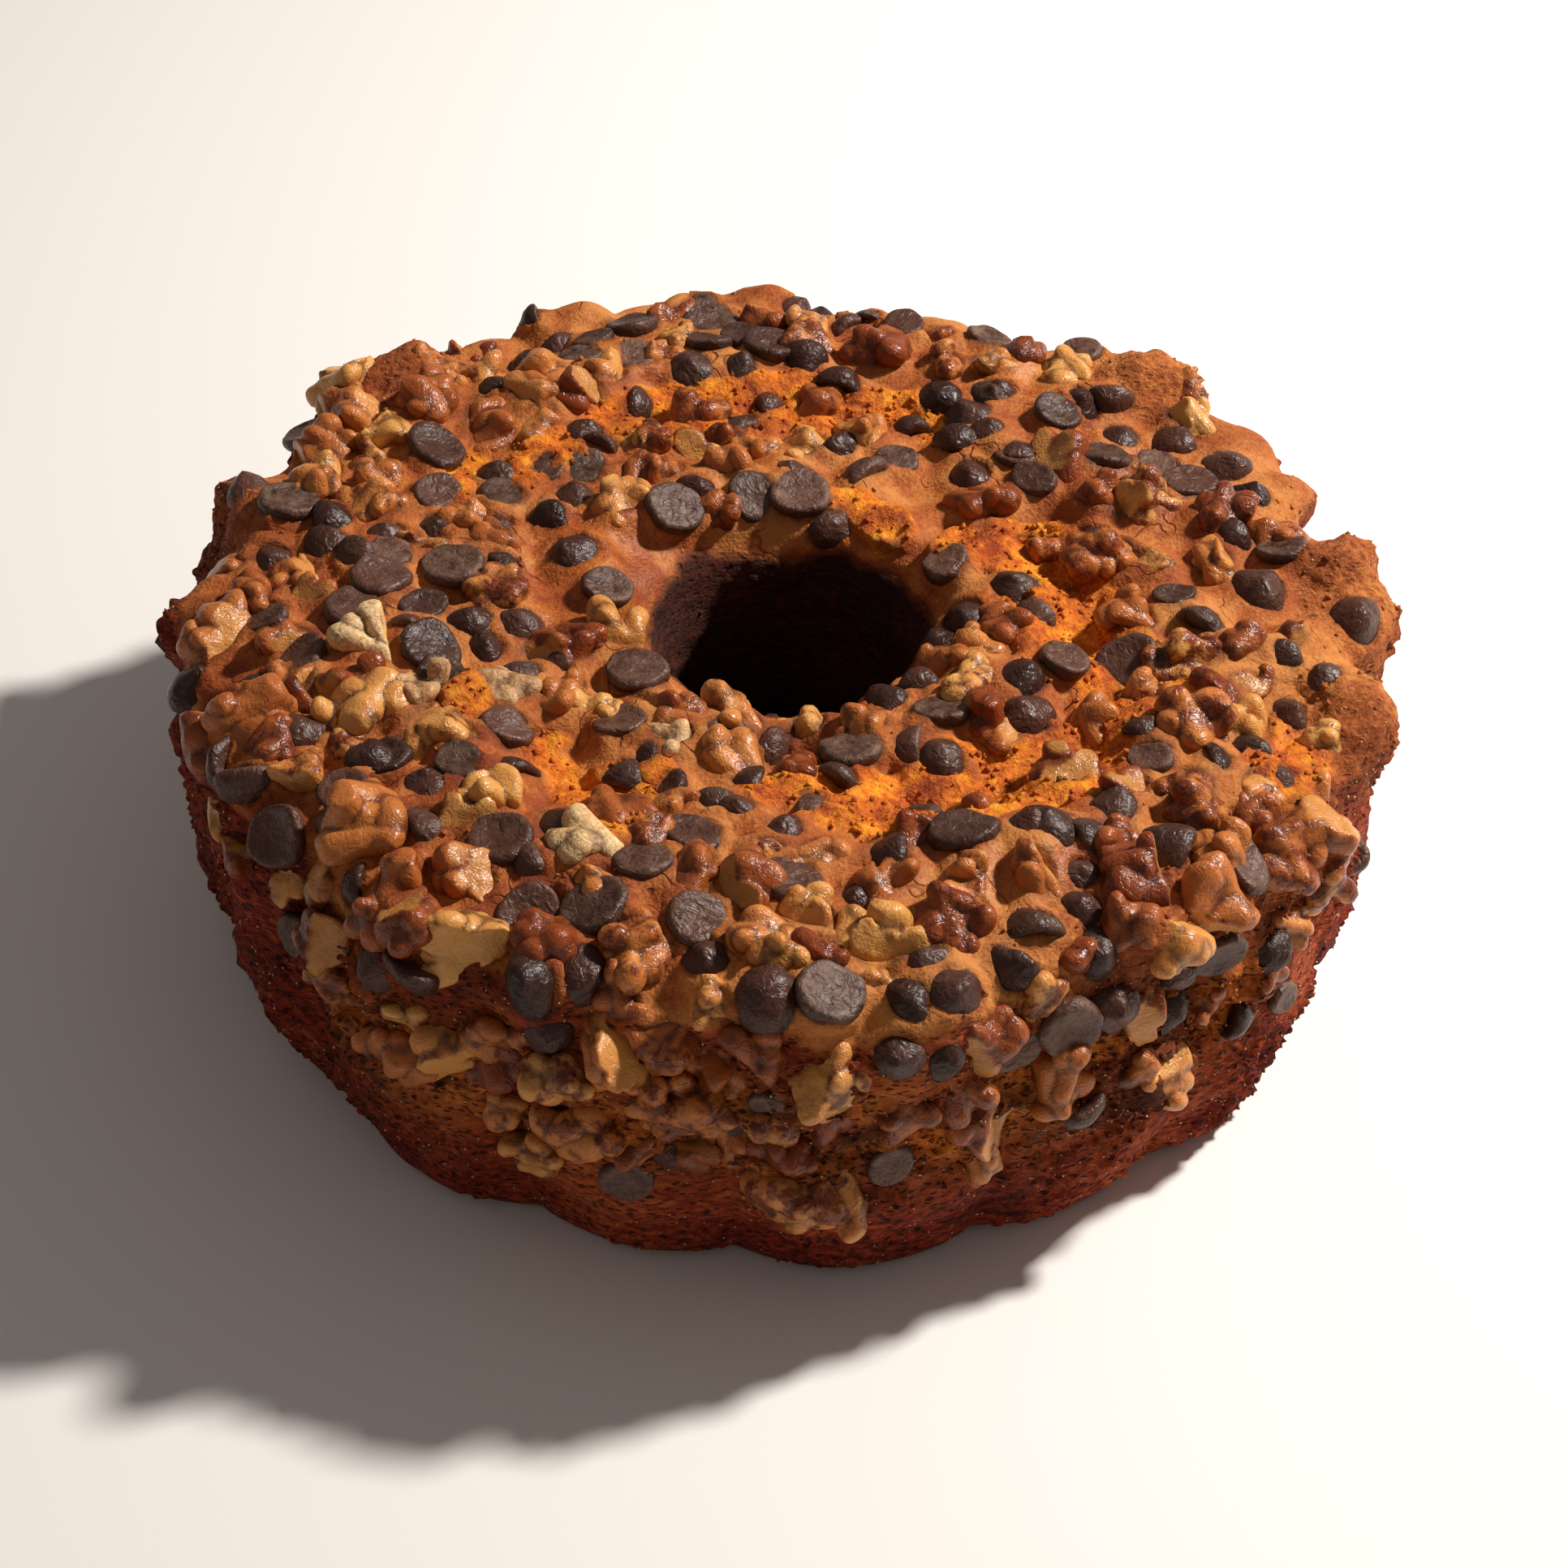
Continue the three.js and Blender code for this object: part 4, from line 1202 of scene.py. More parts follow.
@dataclass(frozen=True)
class BakedCrust:
    """Oven-browned cake: velvety tan skin on top, wet orange crumb where it tore, dark wall."""

    skin: tuple = ("#843A16", "#AC6028", "#C88442")
    # darker band along the border of torn skin and round the hole's rim; also painted shade in the
    # hair cracks
    scorch_and_crack_shade: str = "#8A3E18"
    split: tuple = ("#A23E0E", "#DE7416", "#FFA824", "#FFD860")
    wall: tuple = ("#430D06", "#8A2B10", "#B25628")
    rim: tuple = ("#6A2C10", "#AA5A28", "#D08A42")
    # the hole's wall: pan-browned crust, darker than the outer wall, which is partly painted shade
    # down the hole
    tube: tuple = ("#280B05", "#582410")
    # colour of the painted shade in pores and recesses
    pit: str = "#2A0D06"
    # patterns by their widest swells in millimetres, their detail and their roughness
    mottle: tuple = (9, 5, 0.62)  # uneven heat
    velvet: tuple = (0.8, 2, 0.6)  # burst bubbles make the skin soft; drawn coarser, to show
    crumb: tuple = (1.7, 5, 0.72)  # coarse and open where skin is missing
    moist: tuple = (8, 3, 0.6)  # how fresh the torn crumb still is
    stretch: tuple = (13, 2, 0.5)  # along its middle value run hair cracks
    strain: tuple = (21, 1, 0.5)  # where the skin was stretched enough to crack
    # pores down the wall in millimetres: across, rows of them, how far rows stray and how often
    pores: tuple = (2.3, 3.4, 3.2, 4)
    flattened: float = 2.6  # pores, as the batter rose along the pan
    # places of the colours along what each zone's colour follows
    skin_stops: tuple = (0.4, 0.57, 0.74)
    split_stops: tuple = (0.24, 0.42, 0.58, 0.78)
    wall_stops: tuple = (0.36, 0.52, 0.68)
    rim_stops: tuple = (0.34, 0.5, 0.66)
    tube_stops: tuple = (0.4, 0.66)
    relief: float = 1.2  # millimetres of bump

    def make(self) -> Material:
        """Make the material, which follows the zones that are written on the mesh.

        Returns:
            The material.
        """
        sheet = Sheet("browned_cake_crust")
        put = sheet.put
        names = ("edge", "rim", "split", "side", "fresh", "inner", "dry", "sheen", "porous")
        names += ("heat", "tone", "cavity")
        zone = {name: put("Attribute", out="Fac", attribute_name=name) for name in names}
        noise = {}
        for name in ("mottle", "velvet", "crumb", "moist", "stretch", "strain"):
            size, detail, rough = getattr(self, name)
            links = {"Vector": sheet.place, "Scale": per(size), "Detail": detail}
            noise[name] = put("TexNoise", {**links, "Roughness": rough})
        across, rows_apart, far, often = self.pores
        level = put("Mapping", {"Vector": sheet.place, "Scale": (1, 1, self.flattened)})
        stray = put("TexNoise", {"Vector": level, "Scale": per(often), "Detail": 2}, out="Color")
        bent = put("VectorMath", (stray, (far * MM,) * 3, level), **TIMES_PLUS)
        pores = put("TexVoronoi", {"Vector": bent, "Scale": per(across)})
        links = {"Vector": level, "Scale": per(rows_apart), "Detail": 4, "Roughness": 0.7}
        rows = put("TexNoise", links)
        # hair cracks in whole skin
        off = put("Math", (put("Math", (noise["stretch"], 0.5), **LESS),), operation="ABSOLUTE")
        cracks = put("MapRange", (off, 0.004, 0.014, 1, 0))
        for share in (
            put("MapRange", (noise["strain"], 0.57, 0.63, 0, 1)),
            put("Math", (1, zone["porous"]), **LESS),
        ):
            cracks = put("Math", (cracks, share), **TIMES)
        # colours of each zone, lighter where what they follow stands high; torn crumb is
        # yellow where it is deep and fresh, caramel where it stands up and browned
        tone = zone["tone"]
        follows = {
            "skin": (-0.25, (tone, 0.34), (noise["mottle"], 0.95), (noise["velvet"], 0.42)),
            "split": (-0.3, (zone["heat"], 0.5), (noise["crumb"], 0.7), (noise["moist"], 0.7)),
            "wall": (0, (tone, 0.25), (rows, 0.75)),
            "rim": (0, (tone, 0.3), (noise["crumb"], 0.7)),
            "tube": (0, (tone, 0.25), (rows, 0.75)),
        }
        coat = {}
        for name, weights in follows.items():
            stops = tuple(zip(getattr(self, name + "_stops"), getattr(self, name)))
            coat[name] = put("ValToRGB", (sheet.total(*weights),), stops=stops)
        # every zone over the one before; pores and hair cracks get painted shade, darker down
        # inside, as do recesses and in part the hole's wall
        holes = put("MapRange", (pores, 0.16, 0.42, 1, 0))
        shaded_pores = put("Math", (holes, zone["dry"]), **TIMES)
        colour = sheet.layers(
            coat["skin"],
            (zone["edge"], 1, self.scorch_and_crack_shade),
            (zone["rim"], 1, coat["rim"]),
            (zone["split"], 1, coat["split"]),
            (zone["side"], 1, coat["wall"]),
            (zone["fresh"], 0.5, coat["split"]),
            # the hole's wall, darkened in part as painted shade
            (zone["inner"], 1, coat["tube"]),
            # painted shade down inside the pores of the wall
            (shaded_pores, 0.8, self.pit),
            # painted shade in the hair cracks
            (cracks, 0.7, self.scorch_and_crack_shade),
            # painted shade in recesses and where the crust meets a topping
            (zone["cavity"], 1, self.pit),
        )
        # bump: velvet on the skin, rough crumb where it is open, pores down the wall
        bare = put("Math", (noise["crumb"], zone["porous"]), **TIMES)
        smooth = ((noise["mottle"], 0.9), (noise["velvet"], 0.32))
        height = sheet.total(0, *smooth, (bare, 1.1), (shaded_pores, -0.9), (cracks, -0.35))
        bump = put("Bump", {"Height": height, "Strength": 0.9, "Distance": self.relief * MM})
        # torn crumb is moist, the skin has a soft sheen where it is stretched, the wall is dry
        shine = ((zone["split"], -0.25), (zone["sheen"], -0.42), (zone["dry"], 0.12))
        return sheet.done(
            Base_Color=colour,
            Roughness=sheet.total(0.78, *shine),
            IOR=1.42,
            Specular_IOR_Level=0.34,
            Normal=bump,
        )


@dataclass(frozen=True)
class DarkChocolate:
    """Dark chocolate that softened and set again, dusty with bloom on its flat faces."""

    dark: str = "#2C150F"
    warm: str = "#4C2A1F"
    bloom: str = "#7C5F4E"
    speck: str = "#A88E7C"
    # millimetres: patches of bloom, specks in them, wrinkles from melting and setting
    dust_size: float = 3.2
    speck_size: float = 1.5
    wrinkle_size: float = 2.2
    wrinkle_depth: float = 0.9

    def make(self) -> Material:
        """Make the material, which follows the tone and bloom that are written on the mesh.

        Returns:
            The material.
        """
        sheet = Sheet("bloomed_dark_chocolate")
        put, start = sheet.put, {"Vector": sheet.place}
        tone, bloom = (put("Attribute", out="Fac", attribute_name=n) for n in ("tone", "bloom"))
        # dusty patches with paler specks in them
        links = {**start, "Scale": per(self.dust_size), "Detail": 5, "Roughness": 0.72}
        dusty = put("MapRange", (put("TexNoise", links), 0.34, 0.72, 0, 1))
        cells = put("TexVoronoi", {**start, "Scale": per(self.speck_size)})
        specks = put("Math", (put("MapRange", (cells, 0.06, 0.13, 1, 0)), dusty), **TIMES)
        dust = put("Math", (dusty, bloom), **TIMES)
        colour = sheet.layers(
            self.dark, (tone, 1, self.warm), (dust, 1, self.bloom), (specks, 0.5, self.speck)
        )
        # soft wrinkles
        links = {**start, "Scale": per(self.wrinkle_size), "Detail": 3, "Distortion": 1.2}
        wrinkle = {"Height": put("TexNoise", links), "Distance": self.wrinkle_depth * MM}
        return sheet.done(
            Base_Color=colour,
            Roughness=sheet.total(0.36, (dust, 0.34)),
            IOR=1.44,
            Specular_IOR_Level=0.36,
            Normal=put("Bump", {**wrinkle, "Strength": 0.75}),
        )


@dataclass(frozen=True)
class ToastedWalnut:
    """Walnut kernel, toasted and glazed: amber flesh, dark papery skin, cream where dry."""

    flesh: tuple = ("#7E3816", "#A65C2A", "#BC7438", "#D09650")
    skins: tuple = ("#56220E", "#8A4422")
    # painted shade laid in the folds between lobes
    crease: str = "#3E160A"
    cream: tuple = ("#B98E58", "#E0C394")
    # millimetres: clouding of the flesh, flakes of skin left on it, veins, forking wrinkles
    cloud_size: float = 5
    flake_size: float = 4.2
    vein_size: float = 1.6
    fork_size: float = 2.6
    relief: float = 0.5
    # how far light goes into the flesh, in millimetres of red, green and blue
    glow: tuple = (3.2, 1.4, 0.5)

    def make(self) -> Material:
        """Make the material, which follows the five shares that are written on the mesh.

        Returns:
            The material.
        """
        sheet = Sheet("toasted_walnut_skin")
        put, start = sheet.put, {"Vector": sheet.place}
        names = ("tone", "papery", "dry", "pale", "crease")
        share = {name: put("Attribute", out="Fac", attribute_name=name) for name in names}
        # translucent flesh is cloudy, brown skin is left on it in flakes with fine veins
        cloud = put("TexNoise", {**start, "Scale": per(self.cloud_size), "Detail": 3})
        links = {**start, "Scale": per(self.flake_size), "Detail": 4, "Roughness": 0.6}
        flake = put("TexNoise", links)
        links = {**start, "Scale": per(self.vein_size), "Detail": 3, "Distortion": 1.6}
        vein = put("TexNoise", links)
        shade = sheet.total(-0.35, (share["tone"], 1), (cloud, 0.7))
        cover = sheet.total(-0.5, (share["papery"], 1), (flake, 1))
        colour = sheet.layers(
            put("ValToRGB", (shade,), stops=tuple(zip((0.1, 0.4, 0.7, 1.0), self.flesh))),
            (
                put("MapRange", (cover, 0.5, 0.62, 0, 1)),
                1,
                put("ValToRGB", (vein,), stops=tuple(zip((0.35, 0.62), self.skins))),
            ),
            (
                share["dry"],
                1,
                put("ValToRGB", (vein,), stops=tuple(zip((0.35, 0.6), self.cream))),
            ),
            (share["pale"], 0.55, self.flesh[3]),
            # painted shade in the folds between lobes
            (share["crease"], 1, self.crease),
        )
        # fine wrinkles that fork over the lobes, dark at their bottom
        links = {**start, "Scale": per(self.fork_size), "Detail": 2, "Distortion": 0.8}
        off = put("Math", (put("TexNoise", links), 0.5), **LESS)
        fork = put("MapRange", (put("Math", (off,), operation="ABSOLUTE"), 0, 0.06, 0, 1))
        height = sheet.total(0, (vein, 1), (fork, 0.3), (cloud, 1.6))
        bump = put("Bump", {"Height": height, "Strength": 0.5, "Distance": self.relief * MM})
        return sheet.done(
            Base_Color=colour,
            Roughness=sheet.total(0.3, (share["dry"], 0.34)),
            IOR=1.46,
            Specular_IOR_Level=0.36,
            Normal=bump,
            Subsurface_Weight=0.2,
            Subsurface_Radius=tuple(depth * MM for depth in self.glow),
            Subsurface_Scale=1.0,
        )


@dataclass(frozen=True)
class CoarseSugar:
    """Sugar crystals half melted on the crust: glassy, tinted by what is under them."""

    tint: str = "#9A6238"
    cloudy: str = "#D9B48C"
    cloud_size: float = 2.5  # millimetres
    glow: tuple = (2, 1.4, 1)

    def make(self) -> Material:
        """Make the material, with cloudy and clear crystals side by side.

        Returns:
            The material.
        """
        sheet = Sheet("toasted_sugar_crystal")
        cloud = sheet.put("TexNoise", {"Vector": sheet.place, "Scale": per(self.cloud_size)})
        return sheet.done(
            Base_Color=sheet.layers(self.tint, (cloud, 1, self.cloudy)),
            Roughness=0.16,
            IOR=1.54,
            Subsurface_Weight=0.2,
            Subsurface_Radius=tuple(depth * MM for depth in self.glow),
            Subsurface_Scale=1.0,
        )


@dataclass(frozen=True)
class StudioPaper:
    """Matt pale paper for the floor."""

    colour: str = "#EDEAE6"
    fibre_size: float = 4  # millimetres; real fibre is far too fine to show
    fibre_depth: float = 0.2

    def make(self) -> Material:
        """Make the material, with a faint bump of fibre.

        Returns:
            The material.
        """
        sheet = Sheet("matt_studio_paper")
        links = {"Vector": sheet.place, "Scale": per(self.fibre_size)}
        fibre = {"Height": sheet.put("TexNoise", links), "Distance": self.fibre_depth * MM}
        return sheet.done(
            Base_Color=self.colour,
            Roughness=0.85,
            IOR=1.45,
            Normal=sheet.put("Bump", {**fibre, "Strength": 0.04}),
        )


# ---- The baked body ----


@dataclass
class CakeBody:
    """The cake without its toppings: domed skin, torn crumb, porous wall and dark hole."""

    form: CakeForm
    torn: TornCrumb
    toppings: list[Topping]
    finish: BakedCrust
    step: float = 1.0
    # the block that is meshed: half its width, and its lowest and highest level
    reach: float = 134
    low: float = -3
    high: float = 94
    band: float = 5  # from the form's surface, within which skin can creep up toppings
    most_faces: int = 194_000
    # azimuth and half width of the lobes where coarse crumb stands over the edge
    coarse_lobes: tuple = ((48, 13), (8, 13), (165, 8), (142, 9), (316, 15), (300, 9), (345, 8))
    # places where the skin is stretched tight and shines: azimuth, radius, spread
    tight_skin: tuple = (
        (160, 42, 19), (188, 52, 12), (97, 42, 12), (30, 95, 20), (60, 100, 14), (110, 98, 14),
        (292, 100, 12), (303, 104, 12),
    )
    broken_edge: tuple = (222, 322)  # azimuths between which the front shoulder broke up
    break_fade: float = 10  # degrees over which that starts
    break_height: float = 47
    break_reach: float = 15  # up and down
    # height beside that of the break, depth and thickness of each ragged crack along it
    cracks: tuple = ((0, 4.4, 1.9), (-9, 3.6, 1.6), (8, 2.4, 1.3))
    # where each zone starts and where it is full: distances, depths of the tear, radii, heights
    side_from: tuple = (1.5, 7)
    inner_from: tuple = (-1.5, 2.5)
    split_from: tuple = (1.5, 2.5)
    edge_from: tuple = (0.5, 1.6)
    heat_from: tuple = (2.2, 5.0)
    lobe_radius: tuple = (102, 111)
    lobe_height: tuple = (56, 64)
    shoulder_radius: tuple = (98, 110)
    # unevenness: its height, where in the noise it starts, length of its waves, octaves
    borders: tuple = (1, 0, 11, 3)  # between zones
    burrs: tuple = (1.6, 140, 3.5, 2)  # of the hole's rim
    tones: tuple = (0.5, 90, 26, 2)
    swells: tuple = (0.7, 40, 19, 2)
    dimples: tuple = (0.4, 70, 6, 2)  # of the skin
    clods: tuple = (0.9, 60, 8, 3)  # of torn crumb
    ridges: tuple = (0.55, 300, 9, 3)  # down the wall
    ridge_flatness: float = 3.2
    # how far each border strays, in millimetres or degrees
    strays: dict = field(
        default_factory=lambda: {
            "side": 3.5, "inner": 3, "split": 3, "tear": 1.1, "lobe": 4, "rim": 3, "shoulder": 4
        }
    )
    # lumps of torn crumb: start in the noise, width, height, share of the width where they end
    lumps: tuple = ((0, 6.4, 2.2, 0.45), (55, 3.0, 1.3, 0.5))
    pit: float = 3.8  # pits down the wall, across
    pit_depth: float = 1.5
    pit_flatness: float = 2.4  # pits are so much flatter than wide
    pit_shape: tuple = (0.5, 0.3)  # shares of the width: where it ends, how long its slope is
    pit_web: float = 0.25  # height of the walls between pits
    pit_patches: tuple = (200, 14)  # start in the noise, length of its waves
    pit_patch_from: tuple = (-0.45, 0.35)
    crack_sway: tuple = (2.6, 13, 40)  # height, times per round, degrees on for each drop
    crack_stray: tuple = (4.5, 12)  # height, length of its waves
    crack_gaps: tuple = (500, 20)  # start in the noise, length of its waves
    crack_from: tuple = (-0.35, 0.1)
    sunk_crumb: float = 1.3
    raised_skin: float = 0.9
    cushion: float = 1.5
    cushion_from: tuple = (0.3, 5)  # distances from a topping over which the skin rises
    cushion_dip: float = 0.8  # share of the cushion that lies below the form
    crevice: float = 0.7
    crevice_at: tuple = (0.1, 0.7)  # distance from a topping, spread
    foot: tuple = (0.5, 6)  # heights over which the relief starts
    room: float = 1.2  # how far the crust reaches into each topping
    seed: int = 5
    # how high the skin creeps about a topping, and over what distance; nuts have no lie
    lips: dict = field(
        default_factory=lambda: {
            Lie.FLAT: (1.1, 1.6), Lie.CONE: (0.6, 1.4), Lie.SIDE: (0.9, 1.5), None: (0.8, 1.5)
        }
    )

    def zones(self, points: Array, grain: Grain) -> dict[str, Array]:
        """Tell which part of the crust each point belongs to, 0 to 1 each.

        Args:
            points: on or near the surface, one row each.
            grain: noise that makes the borders uneven.

        Returns:
            Shares by name.
        """
        x, y, z = points.T
        radius = np.hypot(x, y)
        azimuth = np.degrees(np.arctan2(y, x))
        stray = grain.uneven(points, self.borders)
        sway = {name: share * stray for name, share in self.strays.items()}
        wall = self.form.wall_radius(azimuth, z) - radius
        top = self.form.top_height(azimuth, radius) - z
        hole = radius - self.form.hole_radius(azimuth, z)
        side = ease(top - wall + sway["side"], *self.side_from)
        ragged = sway["inner"] + grain.uneven(points, self.burrs)
        inner = ease(np.minimum(top, wall) - hole + ragged, *self.inner_from)
        torn = self.torn.depth(azimuth + stray, radius + sway["split"]) + sway["tear"]
        above = (1 - side) * (1 - inner)
        split = ease(torn, *self.split_from) * above
        lobes = np.zeros(len(points))
        for at, half in self.coarse_lobes:
            lobes = np.maximum(lobes, bell(wrap(azimuth - at) + sway["lobe"], half))
        rim = lobes * ease(radius + sway["rim"], *self.lobe_radius) * ease(z, *self.lobe_height)
        first, last = self.broken_edge
        turn = azimuth % 360
        fade = self.break_fade
        front = ease(turn, first, first + fade) * ease(-turn, -last, -last + fade)
        off = z - self.break_height - sway["shoulder"]
        shoulder = front * bell(off, self.break_reach) * ease(radius, *self.shoulder_radius)
        tight = np.zeros(len(points))
        for at, out, size in self.tight_skin:
            gap = np.hypot(*(points[:, :2] - polar(at, out, 0)[0, :2]).T)
            tight = np.maximum(tight, bell(gap, size))
        porous = np.maximum.reduce([side, rim, split, shoulder, inner * 0.8])
        border = ease(torn, *self.edge_from) * above * (1 - split)
        return {
            "side": side * (1 - 0.7 * rim) * (1 - 0.8 * shoulder),
            "inner": inner,
            "split": split,
            "heat": np.clip(ease(torn, *self.heat_from) + 0.2 * stray, 0, 1),
            "edge": 0.75 * np.maximum(border, bell(inner - 0.4, 0.4)),
            "rim": np.clip(np.maximum(rim, shoulder), 0, 1),
            "fresh": shoulder * ease(stray, -0.2, 0.7),
            "shoulder": shoulder,
            "dry": np.clip(side + 0.7 * inner + 0.35 * rim, 0, 1),
            "sheen": np.clip(tight * (1 - porous), 0, 1),
            "porous": np.clip(porous, 0, 1),
            "tone": np.clip(0.5 + grain.uneven(points, self.tones), 0, 1),
        }

    def relief(self, points: Array, near: Array, zones: dict, grain: Grain) -> Array:
        """Work out how far the crust stands out beyond its smooth form.

        Args:
            points: on or near the surface, one row each.
            near: how far the nearest topping is from each.
            zones: shares of the zones at each.
            grain: noise for its unevenness.

        Returns:
            One distance for each, below 0 where it is sunk.
        """
        x, y, z = points.T
        azimuth = np.degrees(np.arctan2(y, x)) % 360
        skin = 1 - zones["porous"]
        total = grain.uneven(points, self.swells)
        # skin swells between toppings and dips where it meets them
        total += skin * (self.cushion * (ease(near, *self.cushion_from) - self.cushion_dip))
        total += skin * grain.uneven(points, self.dimples)
        # lumpy crumb where it tore, stood over the edge or broke away
        crumb = np.clip(zones["split"] + zones["rim"] + zones["shoulder"], 0, 1)
        lumps = 0
        for start, size, height, end in self.lumps:
            lumps = lumps + height * (end - grain.cells(points + start, size)[0])
        lumps = lumps + grain.uneven(points, self.clods)
        total += lumps * crumb * (1 - 0.35 * zones["rim"] * (1 - zones["shoulder"]))
        # torn crumb lies below the skin, whose border stands up ragged
        total += self.raised_skin * zones["edge"] * skin - self.sunk_crumb * zones["split"]
        # pits and ridges in level rows down the wall
        away, second = grain.cells(points * (1, 1, self.pit_flatness), self.pit)
        start, length = self.pit_patches
        patch = ease(grain.waves(points + start, length), *self.pit_patch_from)
        end, slope = self.pit_shape
        pits = -self.pit_depth * ease(end - away, 0, slope) * patch
        pits = pits + self.pit_web * (second - away)
        ridges = grain.uneven(points * (1, 1, self.ridge_flatness), self.ridges)
        total += (pits + ridges) * zones["dry"]
        # ragged cracks where the shoulder broke away
        size, times, on = self.crack_sway
        far, length = self.crack_stray
        start, gap = self.crack_gaps
        for drop, depth, thick in self.cracks:
            sway = size * np.sin(np.radians(azimuth * times + on * drop))
            sway = sway + far * grain.waves(points + drop, length)
            broken = ease(grain.waves(points + 3 * drop + start, gap), *self.crack_from)
            off = z - self.break_height - drop - sway
            total -= depth * bell(off, thick) * zones["shoulder"] * broken
        away, spread = self.crevice_at
        total -= self.crevice * bell(near - away, spread)
        return total * ease(z, *self.foot)

    def hug(self, depth: Array, near: Array, axes: list, grain: Grain) -> None:
        """Let the skin creep up each topping here and there, and make room inside it.

        Args:
            depth: field of depths, changed in place.
            near: field of distances to the nearest topping, filled in.
            axes: the fields' coordinates along x, y and z.
            grain: noise for where the skin creeps up.
        """
        for topping in self.toppings:
            reach = topping.length * 0.55 + FAR_OFF
            spans = tuple(
                slice(*np.searchsorted(axis, (middle - reach, middle + reach)))
                for axis, middle in zip(axes, topping.middle)
            )
            block = np.meshgrid(*[axis[span] for axis, span in zip(axes, spans)], indexing="ij")
            places = np.stack([b.ravel() for b in block], axis=1)
            away = topping.distance(places).reshape(block[0].shape)
            rise, spread = self.lips[topping.lie]
            uneven = ease(grain.waves(places + 20, 6), -0.7, 0.5).reshape(away.shape)
            lip = rise * uneven * bell(away - 0.4, spread) * ease(block[2], 2, 6)
            local = depth[spans]
            local = np.where(np.abs(local) < self.band, local + lip, local)
            depth[spans] = np.minimum(local, away + self.room)
            near[spans] = np.minimum(near[spans], away)

    def sample(self, grid: Array, points: Array) -> Array:
        """Read a field at points, blended between its own.

        Args:
            grid: the field.
            points: places in millimetres, one row each.

        Returns:
            One value for each point.
        """
        scaled = (points - self.corner) / self.step
        low = np.clip(np.floor(scaled).astype(int), 0, np.array(grid.shape) - 2)
        part = np.clip(scaled - low, 0, 1)
        total = np.zeros(len(points))
        for turn in np.ndindex(2, 2, 2):
            weight = np.prod(np.where(turn, part, 1 - part), axis=1)
            total += weight * grid[tuple((low + turn).T)]
        return total

    def build(self) -> Piece:
        """Make the body, thinned to its share of triangles, with its zones written on it.

        Returns:
            The object.
        """
        grain = Grain(self.seed)
        flat = np.arange(-self.reach, self.reach, self.step)
        upright = np.arange(self.low, self.high, self.step)
        self.corner = np.array([flat[0], flat[0], upright[0]])
        x, y, z = flat[:, None, None], flat[None, :, None], upright[None, None, :]
        depth = self.form.depth_inside(x, y, z).astype(np.float32)
        near = np.full(depth.shape, FAR_OFF, np.float32)
        self.hug(depth, near, [flat, flat, upright], grain)
        points, faces = skin_of(depth, self.corner, self.step)
        gaps = self.sample(near, points)
        out = self.relief(points, gaps, self.zones(points, grain), grain)
        points = points + normals_of(points, faces) * out[:, None]
        points[:, 2] = np.maximum(points[:, 2], 0)
        sizes = np.full(len(faces), 4)
        piece = mesh_object("cake_crumb", points * MM, faces.ravel(), sizes, {}, self.finish.make())
        thin(piece, self.most_faces)
        mesh = piece.data
        places = np.empty(len(mesh.vertices) * 3, np.float32)
        mesh.vertices.foreach_get("co", places)
        places = places.reshape(-1, 3) * (1 / MM)
        gaps = self.sample(near, places)
        zones = self.zones(places, grain)
        # painted shade: darker where the crust sinks below its form and in a thin ring where it
        # meets a topping, less on torn crumb
        sunk = ease(-self.relief(places, gaps, zones, grain), 0.9, 3.2)
        sunk = 0.7 * sunk * (1 - 0.5 * zones["split"])
        zones["cavity"] = np.clip(sunk + 0.42 * bell(gaps, 0.5), 0, 0.88)
        write_values(mesh, zones)
        self.places = places
        self.shares = zones
        return piece


# ---- Toppings ----


